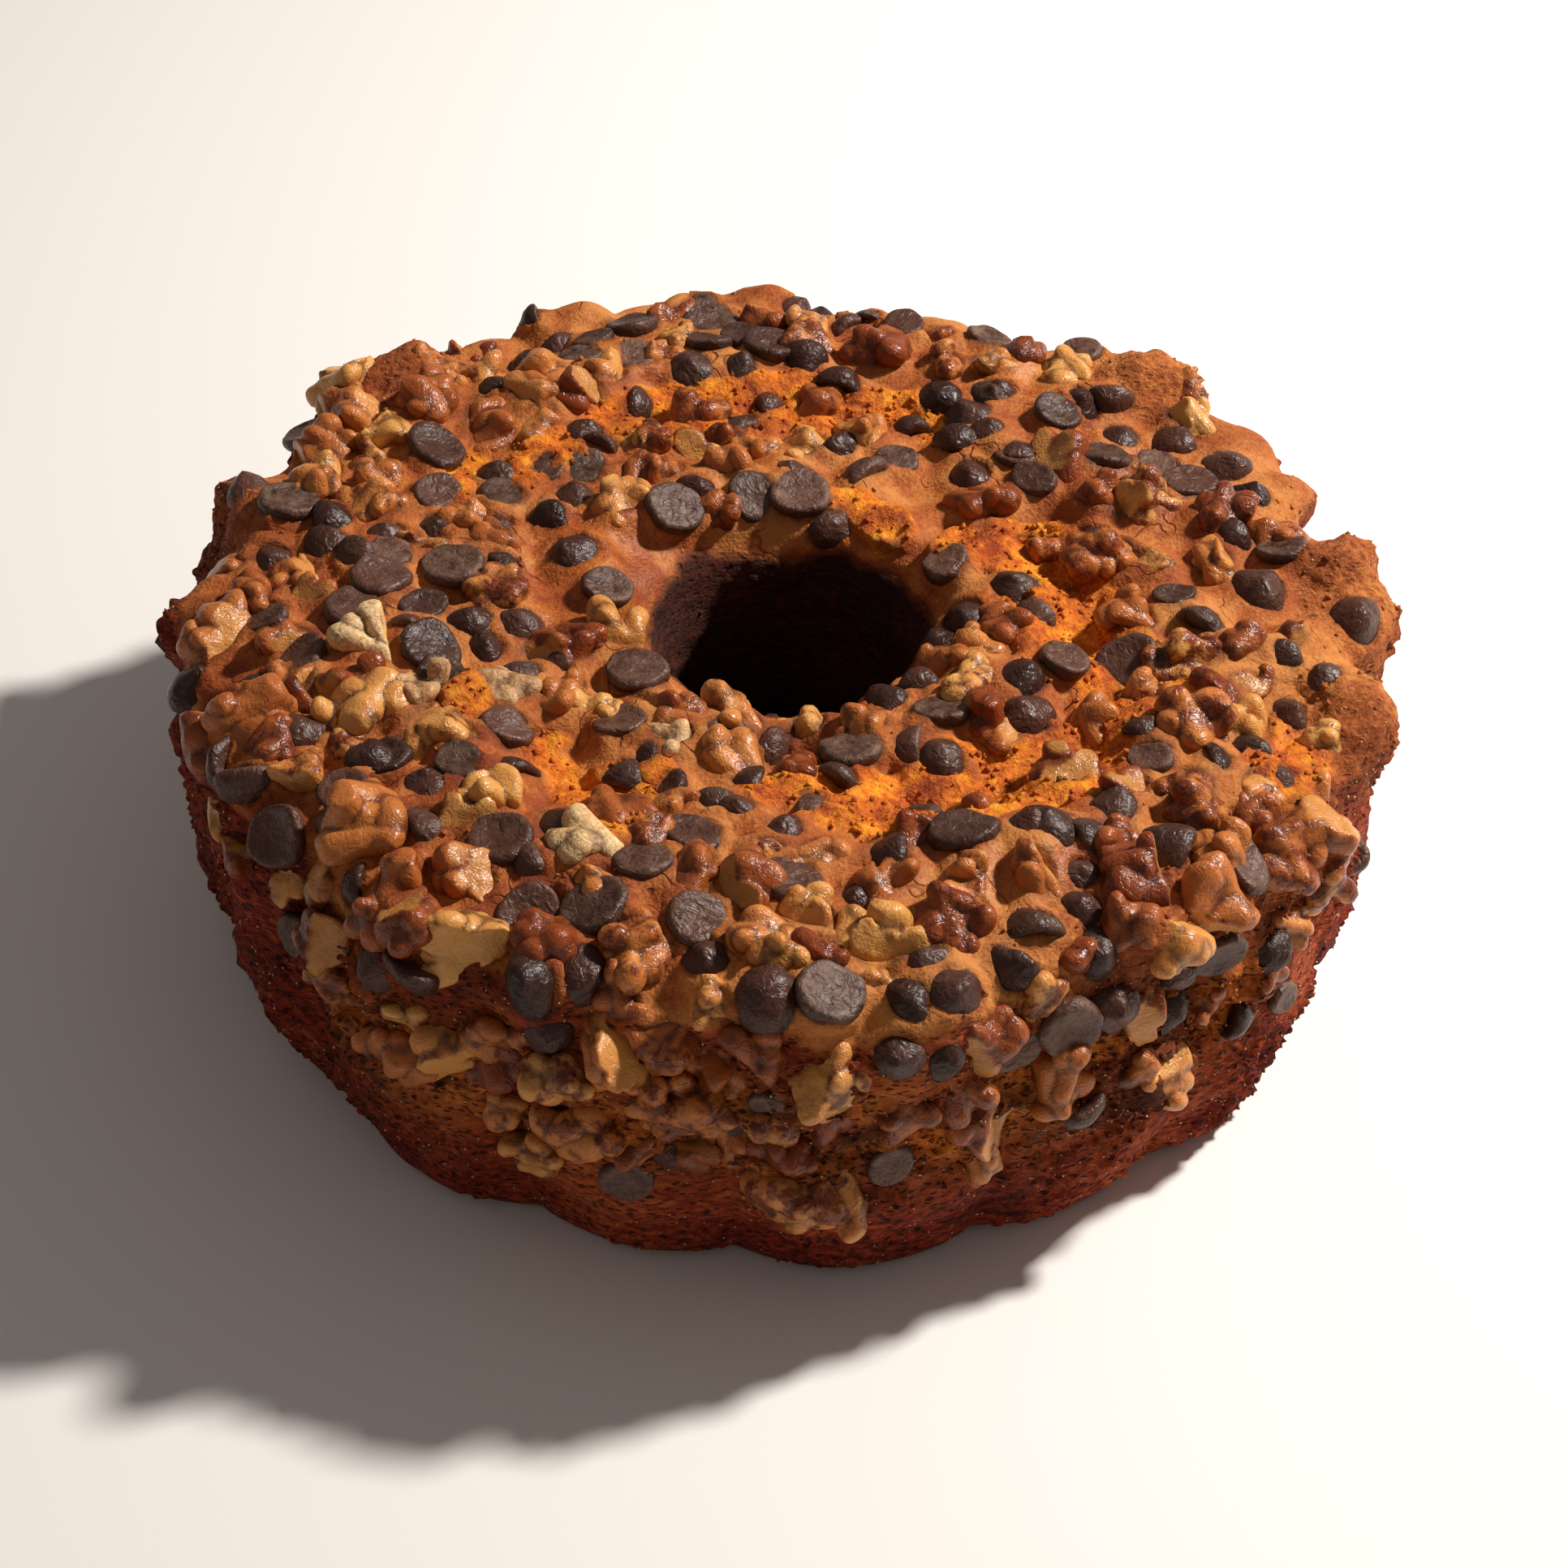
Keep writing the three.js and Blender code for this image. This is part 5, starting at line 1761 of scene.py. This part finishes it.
@dataclass
class ChocolateChips:
    """All the chocolate chips: slumped drops, base up, tip up or on their side."""

    toppings: list[Topping]
    finish: DarkChocolate
    around: int = 28
    swell: float = 1.12
    # least and most for each drop: width over length, twist of its folds and their depth,
    # lean of its tip over the length, sag of its base over the height
    squeeze: tuple = (0.76, 1.0)
    twist: tuple = (-2, 2)
    fold: tuple = (0.02, 0.13)
    lean: tuple = (0, 0.2)
    sag: tuple = (-0.16, 0.16)
    wrinkles: tuple = ((0.62, 4.6), (0.3, 2.1))  # height, length of their waves
    draw_seed: int = 101
    grain_seed: int = 8
    # share of the half length out from the axis, and of the height up from the middle
    profile: tuple = (
        (0, -0.43), (0.26, -0.435), (0.5, -0.45), (0.7, -0.48), (0.84, -0.5), (0.93, -0.475),
        (0.985, -0.41), (1, -0.31), (0.965, -0.18), (0.88, -0.04), (0.76, 0.1), (0.6, 0.22),
        (0.42, 0.32), (0.25, 0.41), (0.1, 0.48), (0, 0.5),
    )

    def faces(self) -> Array:
        """List the faces of one drop: rings between a point at each end.

        Returns:
            Triangles, rows of point numbers.
        """
        rings = len(self.profile) - 2
        n = self.around
        around = np.arange(n)
        after = (around + 1) % n
        rows = [np.stack([np.zeros(n, int), 1 + after, 1 + around], axis=1)]
        for ring in range(rings - 1):
            a, b = 1 + ring * n + around, 1 + ring * n + after
            rows += [np.stack([a, b, b + n], axis=1), np.stack([a, b + n, a + n], axis=1)]
        tip = 1 + rings * n
        last = 1 + (rings - 1) * n
        rows.append(np.stack([last + around, last + after, np.full(n, tip)], axis=1))
        return np.concatenate(rows)

    def drop(self, topping: Topping, draw: Draws, grain: Grain) -> Array:
        """Shape one drop, slumped, folded and wrinkled.

        Args:
            topping: its place and size.
            draw: draws shared by all drops.
            grain: noise for its wrinkles.

        Returns:
            Its points about its middle.
        """
        turns = np.linspace(0, 2 * math.pi, self.around, endpoint=False)
        out = np.array([row[0] for row in self.profile[1:-1]])
        up = np.array([row[1] for row in self.profile])
        half, height = self.swell * topping.length / 2, topping.size[2]
        squeeze = draw.between(*self.squeeze)
        # one or two soft folds run up to the tip, where it was cut off the nozzle
        folds = 2 + round(draw())
        twist, fold = draw.between(*self.twist), draw.between(*self.fold)
        start = draw.between(0, 2 * math.pi)
        rings = [[0, 0, up[0]]]
        for share, level in zip(out, up[1:-1]):
            lifted = max(level + 0.2, 0) * 1.6
            wave = 1 + fold * lifted * np.cos(folds * turns + twist * level * 3)
            x, y = share * wave * np.cos(turns), share * wave * np.sin(turns) * squeeze
            rings += np.stack([x, y, np.full(self.around, level)], axis=1).tolist()
        rings.append([0, 0, up[-1]])
        points = np.array(rings) * (half, half, height)
        turn = np.array([[math.cos(start), -math.sin(start)], [math.sin(start), math.cos(start)]])
        points[:, :2] = points[:, :2] @ turn
        lifted = np.clip(points[:, 2] / height + 0.5, 0, 1)
        lean = draw.between(*self.lean) * topping.length
        toward = draw.between(0, 2 * math.pi)
        points[:, 0] += lean * math.cos(toward) * lifted**2
        points[:, 1] += lean * math.sin(toward) * lifted**2
        # the base sagged about a line across it
        bend, line = draw.between(*self.sag), draw.between(0, math.pi)
        off = (points[:, 0] * math.cos(line) + points[:, 1] * math.sin(line)) / half
        points[:, 2] += bend * height * (off**2 - 0.3)
        shift = np.array([draw.between(0, 300) for _ in range(3)])
        swell = sum(high * grain.waves(points + shift, long) for high, long in self.wrinkles)
        length = np.maximum(np.linalg.norm(points, axis=1), 1e-6)
        return points * (1 + swell / length)[:, None]

    def build(self) -> Piece:
        """Make all drops as one joined piece.

        Returns:
            The object.
        """
        parts = MeshParts()
        draw = Draws(self.draw_seed)
        grain = Grain(self.grain_seed)
        faces = self.faces()
        for topping in self.toppings:
            local = self.drop(topping, draw, grain)
            bloom = draw() ** 1.5
            if topping.lie is Lie.FLAT:
                bloom = 0.25 + 0.75 * bloom
            face = ease(-local[:, 2] / topping.size[2], 0.2, 0.5)
            points = topping.middle + local @ topping.axes.T
            parts.add(points, faces, tone=draw(), bloom=bloom * (0.4 + 0.6 * face))
        return parts.make("chocolate_chips", self.finish.make())


@dataclass
class WalnutPieces:
    """Walnut: lobes folded against one another about a core, some snapped across."""

    GOLDEN_TURN = 2.399963

    name: str
    toppings: list[Topping]
    first_seed: int
    material: Material
    step: float
    most_faces: int = 192_000
    core: float = 0.8
    lobe_out: float = 0.6
    lobe_girth: tuple = (1.9, 3.3)
    # least and most for each fold: how far it strays along the piece and about it, how far out
    # it lies, half its length over its girth, its thickness over that
    level_stray: tuple = (-0.1, 0.1)
    turn_stray: tuple = (-0.35, 0.35)
    fold_out: tuple = (1.0, 1.4)
    fold_half: tuple = (0.6, 1.9)
    fold_thick: tuple = (0.75, 1.15)
    # height and length of the waves that bend it, roughen it and roughen its snapped face
    bending: tuple = (1.15, 5.5)
    roughness: tuple = (0.22, 2.3)
    snap_roughness: tuple = (0.35, 2.4)
    snap_out: float = 0.62  # of the snapped face from the middle, as a share of the half size
    swell: float = 1.14
    blend: float = 0.5
    snap_chance: float = 0.55
    dry_chance: float = 0.45
    draw_seed: int = 202
    grain_seed: int = 9
    # azimuths and radii between which pieces lay on top of all and dried out pale
    dry_places: tuple = ((188, 220, 50, 104), (240, 272, 40, 96))

    def lobes(self, radii: Array, draw: Draws) -> list[tuple]:
        """Choose the folds of one piece, spread about it.

        Args:
            radii: half its sizes.
            draw: its own draws.

        Returns:
            For each fold both ends of its middle line and its half thickness.
        """
        count = 3 + round(radii[0] / 2.3)
        girth = min(max(0.5 * radii[2] + 0.55, self.lobe_girth[0]), self.lobe_girth[1])
        made = []
        start = draw.between(0, 2 * math.pi)
        for i in range(count):
            level = 1 - 2 * (i + 0.5) / count + draw.between(*self.level_stray)
            turn = start + i * self.GOLDEN_TURN + draw.between(*self.turn_stray)
            level = min(max(level, -0.98), 0.98)
            flat = math.sqrt(1 - level * level)
            out = np.array([level, flat * math.cos(turn), flat * math.sin(turn)])
            reach = radii - 0.55 * girth
            middle = out * reach * self.lobe_out * draw.between(*self.fold_out)
            along = np.cross(out, [draw.between(-1, 1) for _ in range(3)])
            along = along / max(np.linalg.norm(along), 1e-6)
            half = draw.between(*self.fold_half) * girth
            thick = girth * draw.between(*self.fold_thick)
            made.append((middle - along * half, middle + along * half, thick))
        return made

    def piece(self, topping: Topping, seed: int, grain: Grain) -> tuple:
        """Shape one piece.

        Args:
            topping: its place and size.
            seed: of its folds.
            grain: noise for its unevenness.

        Returns:
            Points in place, faces, and its share of painted shade in creases and its pale share at
            each point.
        """
        draw = Draws(seed * 977 + 13)
        radii = self.swell * np.array(topping.size) / 2
        lobes = self.lobes(radii, draw)
        snapped = draw() < self.snap_chance
        aim = np.array([draw.between(-1, 1), draw.between(-1, 1), draw.between(0, 1)])
        aim = aim / np.linalg.norm(aim)
        shift = np.array([draw.between(0, 300) for _ in range(3)])
        spans = [np.arange(-r - 3, r + 3, self.step) for r in radii]
        block = np.stack(np.meshgrid(*spans, indexing="ij"), axis=-1)

        def depths(spots: Array) -> tuple[Array, Array, Array]:
            """Tell how deep places lie inside the piece, and how it looks there.

            Args:
                spots: places about the piece's middle, one row each.

            Returns:
                Depth, share of painted shade in creases, and pale share of each.
            """
            size, length = self.bending
            warp = [grain.waves(spots + shift + 31 * i, length) for i in range(3)]
            spots = spots + size * np.stack(warp, axis=1)
            norm = np.maximum(np.linalg.norm(spots / radii, axis=1), 1e-6)
            total = (self.core - norm) * np.linalg.norm(spots, axis=1) / norm
            most = np.full(len(spots), -9.0)
            # share of painted shade: high in the fold where two lobes meet, and where the core
            # shows between them
            crease = np.zeros(len(spots))
            for start, end, girth in lobes:
                line = end - start
                share = np.clip((spots - start) @ line / (line @ line), 0, 1)
                deep = girth - np.linalg.norm(spots - start - share[:, None] * line, axis=1)
                crease = np.maximum(crease * (deep < most + 1), bell(deep - most, 0.42))
                most = np.maximum(most, deep)
                total = -smooth_min(-total, -deep, self.blend)
            crease = np.maximum(crease, ease(total - most, 0, 0.5)) * ease(1.1 - total, 0, 0.6)
            size, length = self.roughness
            total = total + size * grain.waves(spots + shift + 77, length)
            pale = np.zeros(len(spots))
            if snapped:
                size, length = self.snap_roughness
                cut = self.snap_out * np.linalg.norm(radii * aim) - spots @ aim
                cut = cut + size * grain.waves(spots + shift, length)
                pale = ease(total - cut, -0.2, 0.5)
                total = np.minimum(total, cut)
            return total, crease, pale

        depth = depths(block.reshape(-1, 3))[0].reshape(block.shape[:3])
        corner = np.array([span[0] for span in spans])
        points, faces = skin_of(depth, corner, self.step)
        _, crease, pale = depths(points)
        return topping.middle + points @ topping.axes.T, faces, crease * (1 - pale), pale

    def is_dry(self, topping: Topping) -> bool:
        """Tell whether a piece lies where the pale dry ones do.

        Args:
            topping: the piece.

        Returns:
            Whether it does.
        """
        x, y, _ = topping.point
        azimuth, radius = math.degrees(math.atan2(y, x)) % 360, math.hypot(x, y)
        return any(a < azimuth < b and low < radius < high for a, b, low, high in self.dry_places)

    def build(self) -> Piece:
        """Make all pieces as one joined piece.

        Returns:
            The object.
        """
        parts = MeshParts()
        draw = Draws(self.draw_seed)
        grain = Grain(self.grain_seed)
        for seed, topping in enumerate(self.toppings, self.first_seed):
            points, faces, crease, pale = self.piece(topping, seed, grain)
            dried = self.is_dry(topping) and draw() < self.dry_chance
            dry = draw.between(0.5, 1) if dried else 0
            papery = draw.between(0.2, 0.62)
            parts.add(
                points, faces, tone=draw(), crease=0.8 * crease, pale=pale, dry=dry, papery=papery
            )
        made = parts.make(self.name, self.material)
        thin(made, self.most_faces)
        return made


# ---- Scattered grains ----


@dataclass
class Strewn:
    """Small grains on the crust: loose crumbs, and sugar that stuck to wall and rim."""

    body: CakeBody
    crumb_count: int = 2200
    crumb_sizes: tuple = (0.7, 2.0)
    crumb_unevenness: float = 0.35
    crumb_seeds: tuple = (31, 32)  # for the places, for the shapes
    sugar_count: int = 3600
    sugar_sizes: tuple = (0.35, 0.75)
    sugar_unevenness: float = 0.3
    sugar_seeds: tuple = (41, 42)
    lowest: float = 2

    def spots(self, weights: Array, count: int, seed: int) -> Array:
        """Choose crust points at random.

        Args:
            weights: how likely each is.
            count: how many to choose.
            seed: for the choice.

        Returns:
            Their numbers.
        """
        numbers = np.random.default_rng(seed)
        chance = weights * (self.body.places[:, 2] > self.lowest)
        return numbers.choice(len(chance), count, replace=False, p=chance / chance.sum())

    def scatter(self, rows: Array, seed: int, sizes: tuple, unevenness: float) -> MeshParts:
        """Put a small uneven eight-sided grain at each of the chosen points.

        Args:
            rows: numbers of the crust's points.
            seed: for turns and sizes.
            sizes: least and most across.
            unevenness: of the corners, as a share of the size.

        Returns:
            The grains, with the crust's zones where they lie.
        """
        numbers = np.random.default_rng(seed)
        count = len(rows)
        corners = np.array(
            [[1, 0, 0], [-1, 0, 0], [0, 1, 0], [0, -1, 0], [0, 0, 1], [0, 0, -1]], float
        )
        sides = np.array(
            [[0, 2, 4], [2, 1, 4], [1, 3, 4], [3, 0, 4], [2, 0, 5], [1, 2, 5], [3, 1, 5], [0, 3, 5]]
        )
        half = numbers.uniform(*sizes, (count, 1, 1)) / 2
        stretch = numbers.uniform(1 - unevenness, 1 + unevenness, (count, 6, 1))
        shapes = corners * stretch * half
        axes = np.linalg.qr(numbers.normal(size=(count, 3, 3)))[0]
        axes = axes * np.sign(np.linalg.det(axes))[:, None, None]
        middles = self.body.places[rows][:, None, :]
        points = (middles + shapes @ axes).reshape(-1, 3)
        faces = (sides[None] + 6 * np.arange(count)[:, None, None]).reshape(-1, 3)
        parts = MeshParts()
        shares = {key: np.repeat(value[rows], 6) for key, value in self.body.shares.items()}
        parts.add(points, faces, **shares)
        return parts

    def crumbs(self, finish: Material) -> Piece:
        """Make the loose crumbs.

        Args:
            finish: the crust's own material.

        Returns:
            The object.
        """
        shares = self.body.shares
        weights = shares["split"] + 0.25 * shares["rim"] + 0.6 * shares["shoulder"] + 0.03
        rows = self.spots(weights, self.crumb_count, self.crumb_seeds[0])
        grains = self.scatter(rows, self.crumb_seeds[1], self.crumb_sizes, self.crumb_unevenness)
        return grains.make("loose_crumbs", finish)

    def sugar(self, finish: CoarseSugar) -> Piece:
        """Make the sugar grains.

        Args:
            finish: of the crystals.

        Returns:
            The object.
        """
        shares = self.body.shares
        weights = shares["side"] + 1.5 * shares["rim"] + 0.5 * shares["shoulder"] + 0.01
        rows = self.spots(weights, self.sugar_count, self.sugar_seeds[0])
        grains = self.scatter(rows, self.sugar_seeds[1], self.sugar_sizes, self.sugar_unevenness)
        return grains.make("sugar_grains", finish.make())


# ---- Studio ----


@dataclass
class Studio:
    """Pale floor, one keen light from the right, soft fill, and the camera."""

    floor_half: float = 1600
    target: tuple = (0.2, 18.4, 11)
    elevation: float = 40.36
    distance: float = 802
    roll: float = 1.24
    focal: float = 81.99
    sensor: float = 36
    key_azimuth: float = 22
    key_elevation: float = 46
    key_distance: float = 1300
    key_size: float = 120
    key_watts: float = 26.5
    key_height: float = 40  # of the point that it is aimed at
    key_colour: tuple = (1, 0.955, 0.9)
    fill: float = 0.2
    fill_colour: tuple = (1, 0.9, 0.85, 1)

    def floor(self, paper: StudioPaper) -> Piece:
        """Lay the floor.

        Args:
            paper: its finish.

        Returns:
            The object.
        """
        half = self.floor_half
        corners = np.array([[-half, -half, 0], [half, -half, 0], [half, half, 0], [-half, half, 0]])
        ground = mesh_object(
            "studio_floor", corners * MM, np.arange(4), np.array([4]), {}, paper.make()
        )
        ground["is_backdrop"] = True
        return ground

    def camera(self) -> None:
        """Stand the camera where the photograph was taken from."""
        tilt, roll = math.radians(self.elevation), math.radians(self.roll)
        back = Vector((0, -math.cos(tilt), math.sin(tilt)))
        high = Vector((0, math.sin(tilt), math.cos(tilt)))
        side = Vector((1, 0, 0))
        right = math.cos(roll) * side + math.sin(roll) * high
        up = -math.sin(roll) * side + math.cos(roll) * high
        spot = (Vector(self.target) + self.distance * back) * MM
        lens = bpy.data.cameras.new("photo_camera")
        lens.lens = self.focal
        lens.sensor_width = self.sensor
        lens.clip_start = 10 * MM
        holder = bpy.data.objects.new("photo_camera", lens)
        turn = Matrix((right, up, back)).transposed().to_4x4()
        holder.matrix_world = Matrix.Translation(spot) @ turn
        bpy.context.scene.collection.objects.link(holder)
        bpy.context.scene.camera = holder

    def lights(self) -> None:
        """Hang the key light and light the room softly."""
        high = math.radians(self.key_elevation)
        toward = Vector(polar(self.key_azimuth, math.cos(high), math.sin(high))[0])
        lamp = bpy.data.lights.new("key_light", "AREA")
        lamp.shape = "DISK"
        lamp.size = self.key_size * MM
        lamp.energy = self.key_watts
        lamp.color = self.key_colour
        holder = bpy.data.objects.new("key_light", lamp)
        spot = (Vector((0, 0, self.key_height)) + toward * self.key_distance) * MM
        turn = toward.to_track_quat("Z", "Y").to_matrix().to_4x4()
        holder.matrix_world = Matrix.Translation(spot) @ turn
        bpy.context.scene.collection.objects.link(holder)
        world = bpy.data.worlds.new("soft_room")
        world.use_nodes = True
        shell = world.node_tree.nodes["Background"]
        shell.inputs["Color"].default_value = self.fill_colour
        shell.inputs["Strength"].default_value = self.fill
        bpy.context.scene.world = world


def add(piece: Piece, nodes: list[str]) -> None:
    """Fix a piece to the cake's body and hide the solids it stands for.

    Args:
        piece: of the dressed cake.
        nodes: whose solids it replaces.
    """
    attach(piece, BODY)
    if nodes:
        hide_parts(*nodes)
    piece.data.calc_loop_triangles()
    LOG.info("%s: %d triangles", piece.name, len(piece.data.loop_triangles))


def main() -> None:
    """Build the cake and its studio."""
    logging.basicConfig(level=logging.INFO, format="%(name)s: %(message)s")
    form = CakeForm()
    torn = TornCrumb(form)
    toppings = ToppingPlan(form, torn).lay()
    LOG.info("%d toppings", len(toppings))
    kinds = {kind: [t for t in toppings if t.kind is kind] for kind in Kind}
    body = CakeBody(form, torn, toppings, BakedCrust())
    crumb = body.build()
    add(crumb, ["cake"])
    nuts = [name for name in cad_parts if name.startswith("walnut")]
    chips = [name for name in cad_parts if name.startswith("chip")]
    skin = ToastedWalnut().make()
    large = [t for t in kinds[Kind.WALNUT] if t.own]
    small = [t for t in kinds[Kind.WALNUT] if not t.own]
    pieces = WalnutPieces("walnut_pieces", large, first_seed=1, material=skin, step=0.62)
    add(pieces.build(), nuts)
    bits = WalnutPieces("walnut_bits", small, first_seed=101, material=skin, step=0.78)
    add(bits.build(), ["cake"])
    drops = ChocolateChips(kinds[Kind.CHIP], DarkChocolate()).build()
    add(drops, chips + ["cake"])
    strewn = Strewn(body)
    add(strewn.crumbs(crumb.data.materials[0]), ["cake"])
    add(strewn.sugar(CoarseSugar()), ["cake"])
    studio = Studio()
    studio.floor(StudioPaper())
    studio.camera()
    studio.lights()
    bpy.context.scene.view_settings.view_transform = "Standard"


if __name__ == "__main__":
    main()
    boxes = {"cad": CAD_BOX, "visual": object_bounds()}
    plain = {key: [[float(v) for v in corner] for corner in box] for key, box in boxes.items()}
